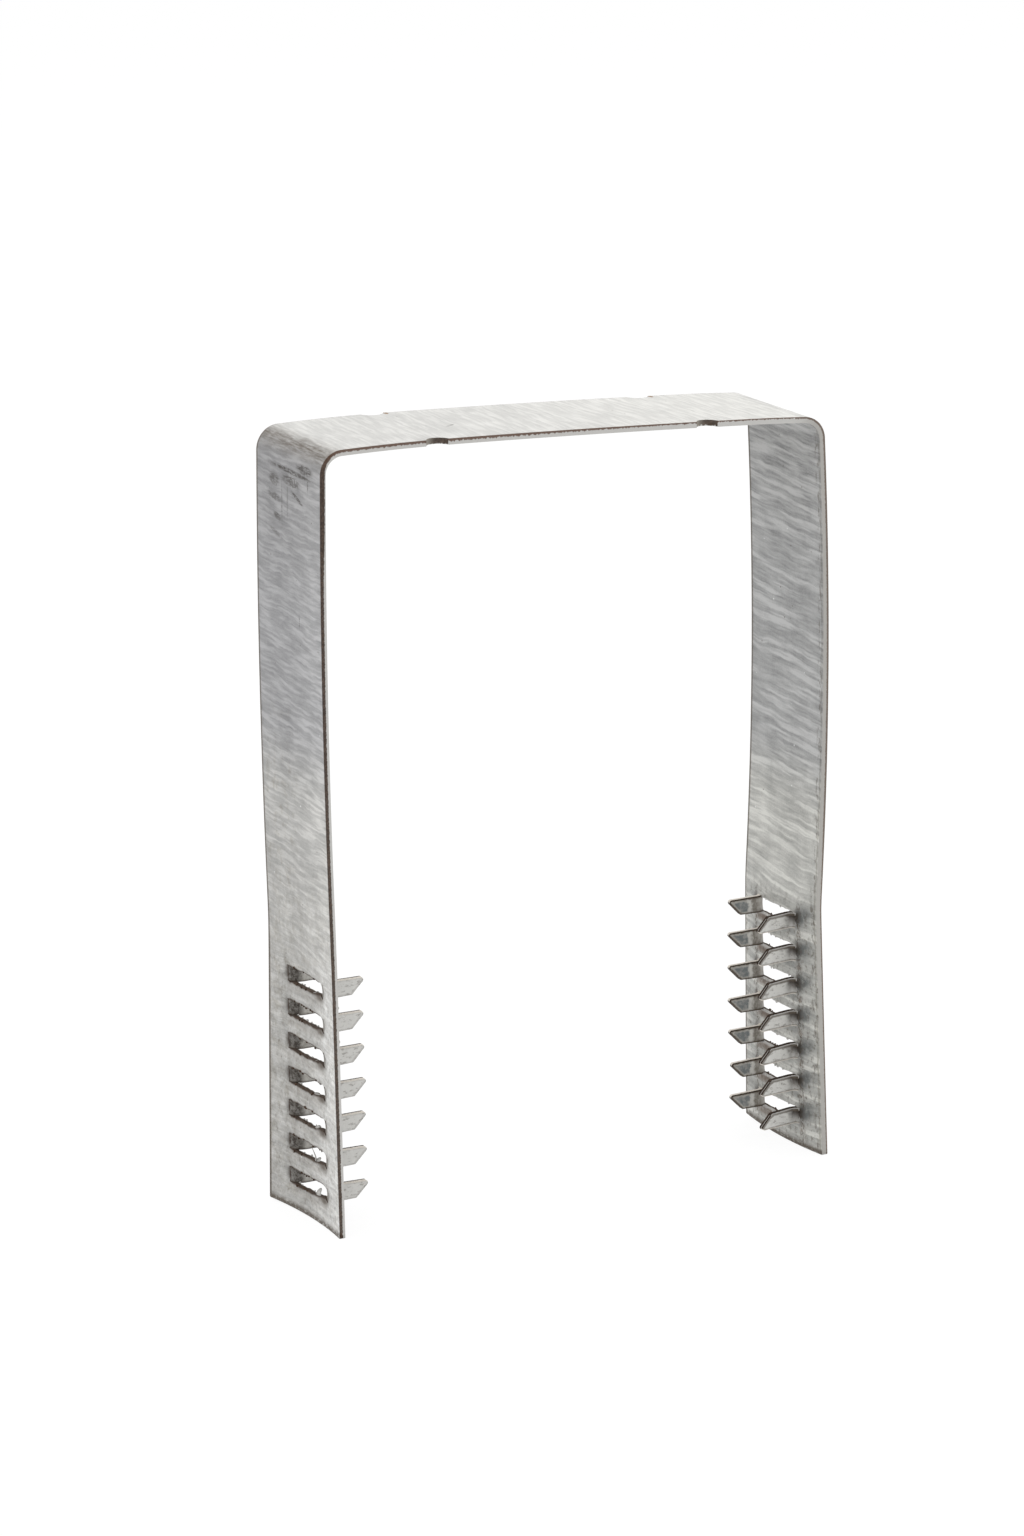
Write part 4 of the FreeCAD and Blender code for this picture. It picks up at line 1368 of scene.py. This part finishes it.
        # Painted shade with stain: the left back teeth's outer face dark where it folds.
        fold = bent.ramp(1.5, 2.5, 1.0, 0.0) * mottle.ramp(0.45, 1.0, 0.65, 1.0)
        paint.lay(fold * outer * soiled, self.root_brown)
        # Painted shade with stain: the teeth's inner face dark at the root.
        corner = bent.ramp(1.7, 3.5, 1.0, 0.0) * height.ramp(-1.2, 0.9, 0.35, 1.0)
        paint.lay(corner * inner, self.root_brown)
        spots = paint.noise((1.0, 0.45, 1.0), 4.0, 0.65).ramp(0.53, 0.66)
        paint.lay(spots * inner * 0.5, self.stain_and_shade)
        upper = inner * on_right * height.ramp(0.4, 1.0)
        line = (ragged - upper * 0.28).ramp(0.46, 0.16)
        weight = outer * 0.95 + inner * on_right.between(0.22, 0.75)
        paint.lay(line * (weight * soiled.between(1.0, 0.5)), self.stain_and_shade)

    @staticmethod
    def from_edge(paint: Painter, blank: ToothBlank) -> Flow:
        """Distance from a tooth's sides and its slanted tip."""
        far, near = blank.corners()
        slant = (far.x - near.x) / (near.y - far.y)
        tip = (far.x + near.x) / 2 / MM - paint.across * slant
        from_tip = (tip - paint.along) / math.hypot(1.0, slant)
        return paint.least(from_tip, blank.root_half / MM - abs(paint.across))

    def wall(self, paint: Painter) -> Flow:
        """Colour of a sheared wall: brown where it tore, on the outer side, bright where it was cut."""
        along, across, tooth, on_bar = paint.along, paint.across, paint.tooth, paint.on_bar
        clean, dirty = tooth * (across < -0.9), tooth * (across > 0.9)
        tip = tooth - (clean + dirty)
        edge = abs(across) > 12.35
        bar_edge, notch = on_bar * edge, on_bar * (1.0 - edge)
        on_leg = edge - bar_edge
        on_right = on_leg * paint.is_right
        left_head = (on_leg - on_right) * along.ramp(108.0, 120.0)
        right_foot = on_right * along.ramp(paint.total - 60.0, paint.total - 45.0)
        left_slot = paint.on_strip * (1.0 - edge) * (along < 50.0)
        wide: Value = 0.42
        for share, change in ((clean, -0.14), (dirty, 0.4), (on_leg, 0.08), (on_right, -0.2),
                              (left_head, 0.25), (right_foot, -0.12), (on_bar, -0.06), (notch, 0.5),
                              (left_slot, 0.4)):
            wide = wide + share * change
        thinner = along.ramp(paint.left_fold[1] + 20.0, paint.right_fold[0] - 10.0, 0.0, 0.22)
        wide = wide - bar_edge * thinner
        ragged = paint.noise((0.5, 0.5, 3.0), 4.0, 0.7)
        shifted = paint.depth + (ragged - 0.5) * (0.4 + on_bar * 0.7)
        bright = shifted.ramp(wide, wide + 0.14) * (1.0 - tip * shifted.ramp(0.54, 0.62))
        grain = paint.noise((0.35, 0.35, 0.35)).ramp(0.35, 0.75)
        brown = paint.mix(grain, self.wall_brown, self.wall_grain)
        brown = paint.tinted(brown, tooth, (0.6, 0.6, 0.6))
        brown = paint.mix(on_right * 0.45, brown, self.right_wall)
        brown = paint.mix(bar_edge * 0.5, brown, self.bar_wall)
        for middle in paint.notches:
            side = along - middle
            lit = side.ramp(-1.9, 0.5, 0.75, 0.0) * (side > -3.0)
            brown = paint.mix(lit * notch, brown, self.notch_wall)
        pale = paint.mix(clean, self.wall_bright, self.wall_cream)
        return paint.mix(bright, brown, paint.tinted(pale, on_right, (0.78, 0.77, 0.75)))


@dataclass
class DressedStrap:
    """The strip as the photograph shows it, which stands for the plain CAD node."""

    sizes: StrapSizes
    teeth: ToothSizes
    finish: GalvanisedFinish

    def build(self) -> bpy.types.Object:
        """Fold the blanks and return the finished piece, riding on the part's body."""
        path = FoldPath(self.sizes)
        tooth_blank = ToothBlank(self.sizes, self.teeth)
        curve = path.as_curve()
        tooth = tooth_blank.build()
        blank = StrapBlank(self.sizes, self.teeth, path).build()
        finish = self.finish.material(path, tooth_blank)
        settings = PressTool(self.sizes, self.teeth).settings(path.total, curve, tooth, finish)
        tree = PressTree(settings).build()
        press = blank.modifiers.new("press", "NODES")
        press.node_group = tree
        for item in tree.interface.items_tree:
            if item.in_out == "INPUT" and item.name in settings:
                press[item.identifier] = settings[item.name]
        strap = self.baked(blank, "tie_strap_dressed")
        for helper in (blank, tooth, curve):
            bpy.data.objects.remove(helper, do_unlink=True)
        weighted = strap.modifiers.new("weighted_normals", "WEIGHTED_NORMAL")
        weighted.keep_sharp = True
        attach(strap, "root")
        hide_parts("tie_strap")
        return strap

    @staticmethod
    def baked(source: bpy.types.Object, name: str) -> bpy.types.Object:
        """A plain mesh object with the shape that a source has after its modifiers."""
        view = bpy.context.evaluated_depsgraph_get()
        data = bpy.data.meshes.new_from_object(
            source.evaluated_get(view), preserve_all_data_layers=True, depsgraph=view)
        data.name = name
        data.set_sharp_from_angle(angle=math.radians(50))
        return in_scene(name, data)


@dataclass
class Studio:
    """White floor and world, soft lamps, and the camera of the photograph."""

    camera_place: Triple = (-407.6 * MM, -795.6 * MM, 293.1 * MM)
    azimuth: float = -26.76
    elevation: float = 13.95
    roll: float = 0.79
    focal_pixels: float = 5560.0
    image_height: float = 1536.0
    sensor: float = 36.0
    world_strength: float = 0.75
    floor_glow: float = 1.03

    def build(self) -> None:
        """Make the world, the floor, the lamps and the camera."""
        self.world()
        self.floor()
        self.lamps()
        self.camera()
        bpy.context.scene.view_settings.view_transform = "Standard"

    def world(self) -> None:
        """A white surround, white to the camera and dimmer to the object."""
        world = bpy.data.worlds.new("studio")
        nodes = self.emptied(world)
        strength = self.world_strength + self.seen(nodes) * (1.0 - self.world_strength)
        light = nodes.take("ShaderNodeBackground", {"Color": (1.0, 1.0, 1.0, 1.0), "Strength": strength})
        nodes.add("ShaderNodeOutputWorld", {0: light})
        bpy.context.scene.world = world

    @staticmethod
    def emptied(holder: bpy.types.World | bpy.types.Material) -> Nodes:
        """The empty node tree of a world or material."""
        holder.use_nodes = True
        holder.node_tree.nodes.clear()
        return Nodes(holder.node_tree)

    @staticmethod
    def seen(nodes: Nodes) -> Flow:
        """1 for rays that show the background itself, in the camera, in gloss or through glass."""
        rays = nodes.add("ShaderNodeLightPath").outputs
        camera, gloss, glass = (
            Flow(nodes, rays[f"Is {kind} Ray"]) for kind in ("Camera", "Glossy", "Transmission"))
        return nodes.math("ADD", nodes.math("ADD", camera, gloss, clamp=True), glass, clamp=True)

    def floor(self) -> None:
        """A pale floor that keeps the object's shadow."""
        mesh = bmesh.new()
        bmesh.ops.create_grid(mesh, x_segments=1, y_segments=1, size=3.0)
        made = as_object(mesh, "floor")
        made.location.z = -0.02 * MM
        material = bpy.data.materials.new("floor_white")
        nodes = self.emptied(material)
        shader = nodes.take("ShaderNodeBsdfDiffuse", {"Color": (0.9, 0.9, 0.9, 1.0)})
        glow = nodes.take("ShaderNodeEmission", {"Color": (1.0, 1.0, 1.0, 1.0), "Strength": self.floor_glow})
        both = nodes.take("ShaderNodeMixShader", {0: self.seen(nodes) * 0.9, 1: shader, 2: glow})
        nodes.add("ShaderNodeOutputMaterial", {0: both})
        made.data.materials.append(material)

    @staticmethod
    def lamps() -> None:
        """Two large soft lamps: one above, one at the left."""
        for name, place, aim, size, power in (
            ("lamp_top", (0.0, 0.1, 1.2), (0.0, 0.0, 0.1), 1.2, 8.5),
            ("lamp_left", (-1.2, -0.5, 0.6), (0.0, 0.0, 0.06), 1.0, 0.6),
        ):
            data = bpy.data.lights.new(name, "AREA")
            data.size = size
            data.energy = power
            lamp = in_scene(name, data)
            lamp.location = place
            lamp.rotation_euler = (Vector(aim) - Vector(place)).to_track_quat("-Z", "Y").to_euler()

    def camera(self) -> None:
        """The camera at the photograph's place, from the fit of the strip's edges."""
        data = bpy.data.cameras.new("camera")
        data.sensor_width = self.sensor
        data.lens = self.focal_pixels * self.sensor / self.image_height
        data.clip_start, data.clip_end = 0.01, 20.0
        made = in_scene("camera", data)
        azimuth, elevation = math.radians(self.azimuth), math.radians(self.elevation)
        turned = Matrix.Rotation(azimuth, 4, "Z") @ Matrix.Rotation(math.pi / 2 - elevation, 4, "X")
        rolled = turned @ Matrix.Rotation(math.radians(-self.roll), 4, "Z")
        made.matrix_world = Matrix.Translation(self.camera_place) @ rolled
        bpy.context.scene.camera = made


def main() -> None:
    logging.basicConfig(level=logging.INFO, format="%(name)s: %(message)s")
    strap = DressedStrap(StrapSizes(), ToothSizes(), GalvanisedFinish()).build()
    LOG.info("%s: %d faces", strap.name, len(strap.data.polygons))
    Studio().build()
    LOG.info("studio ready")


if __name__ == "__main__":
    main()
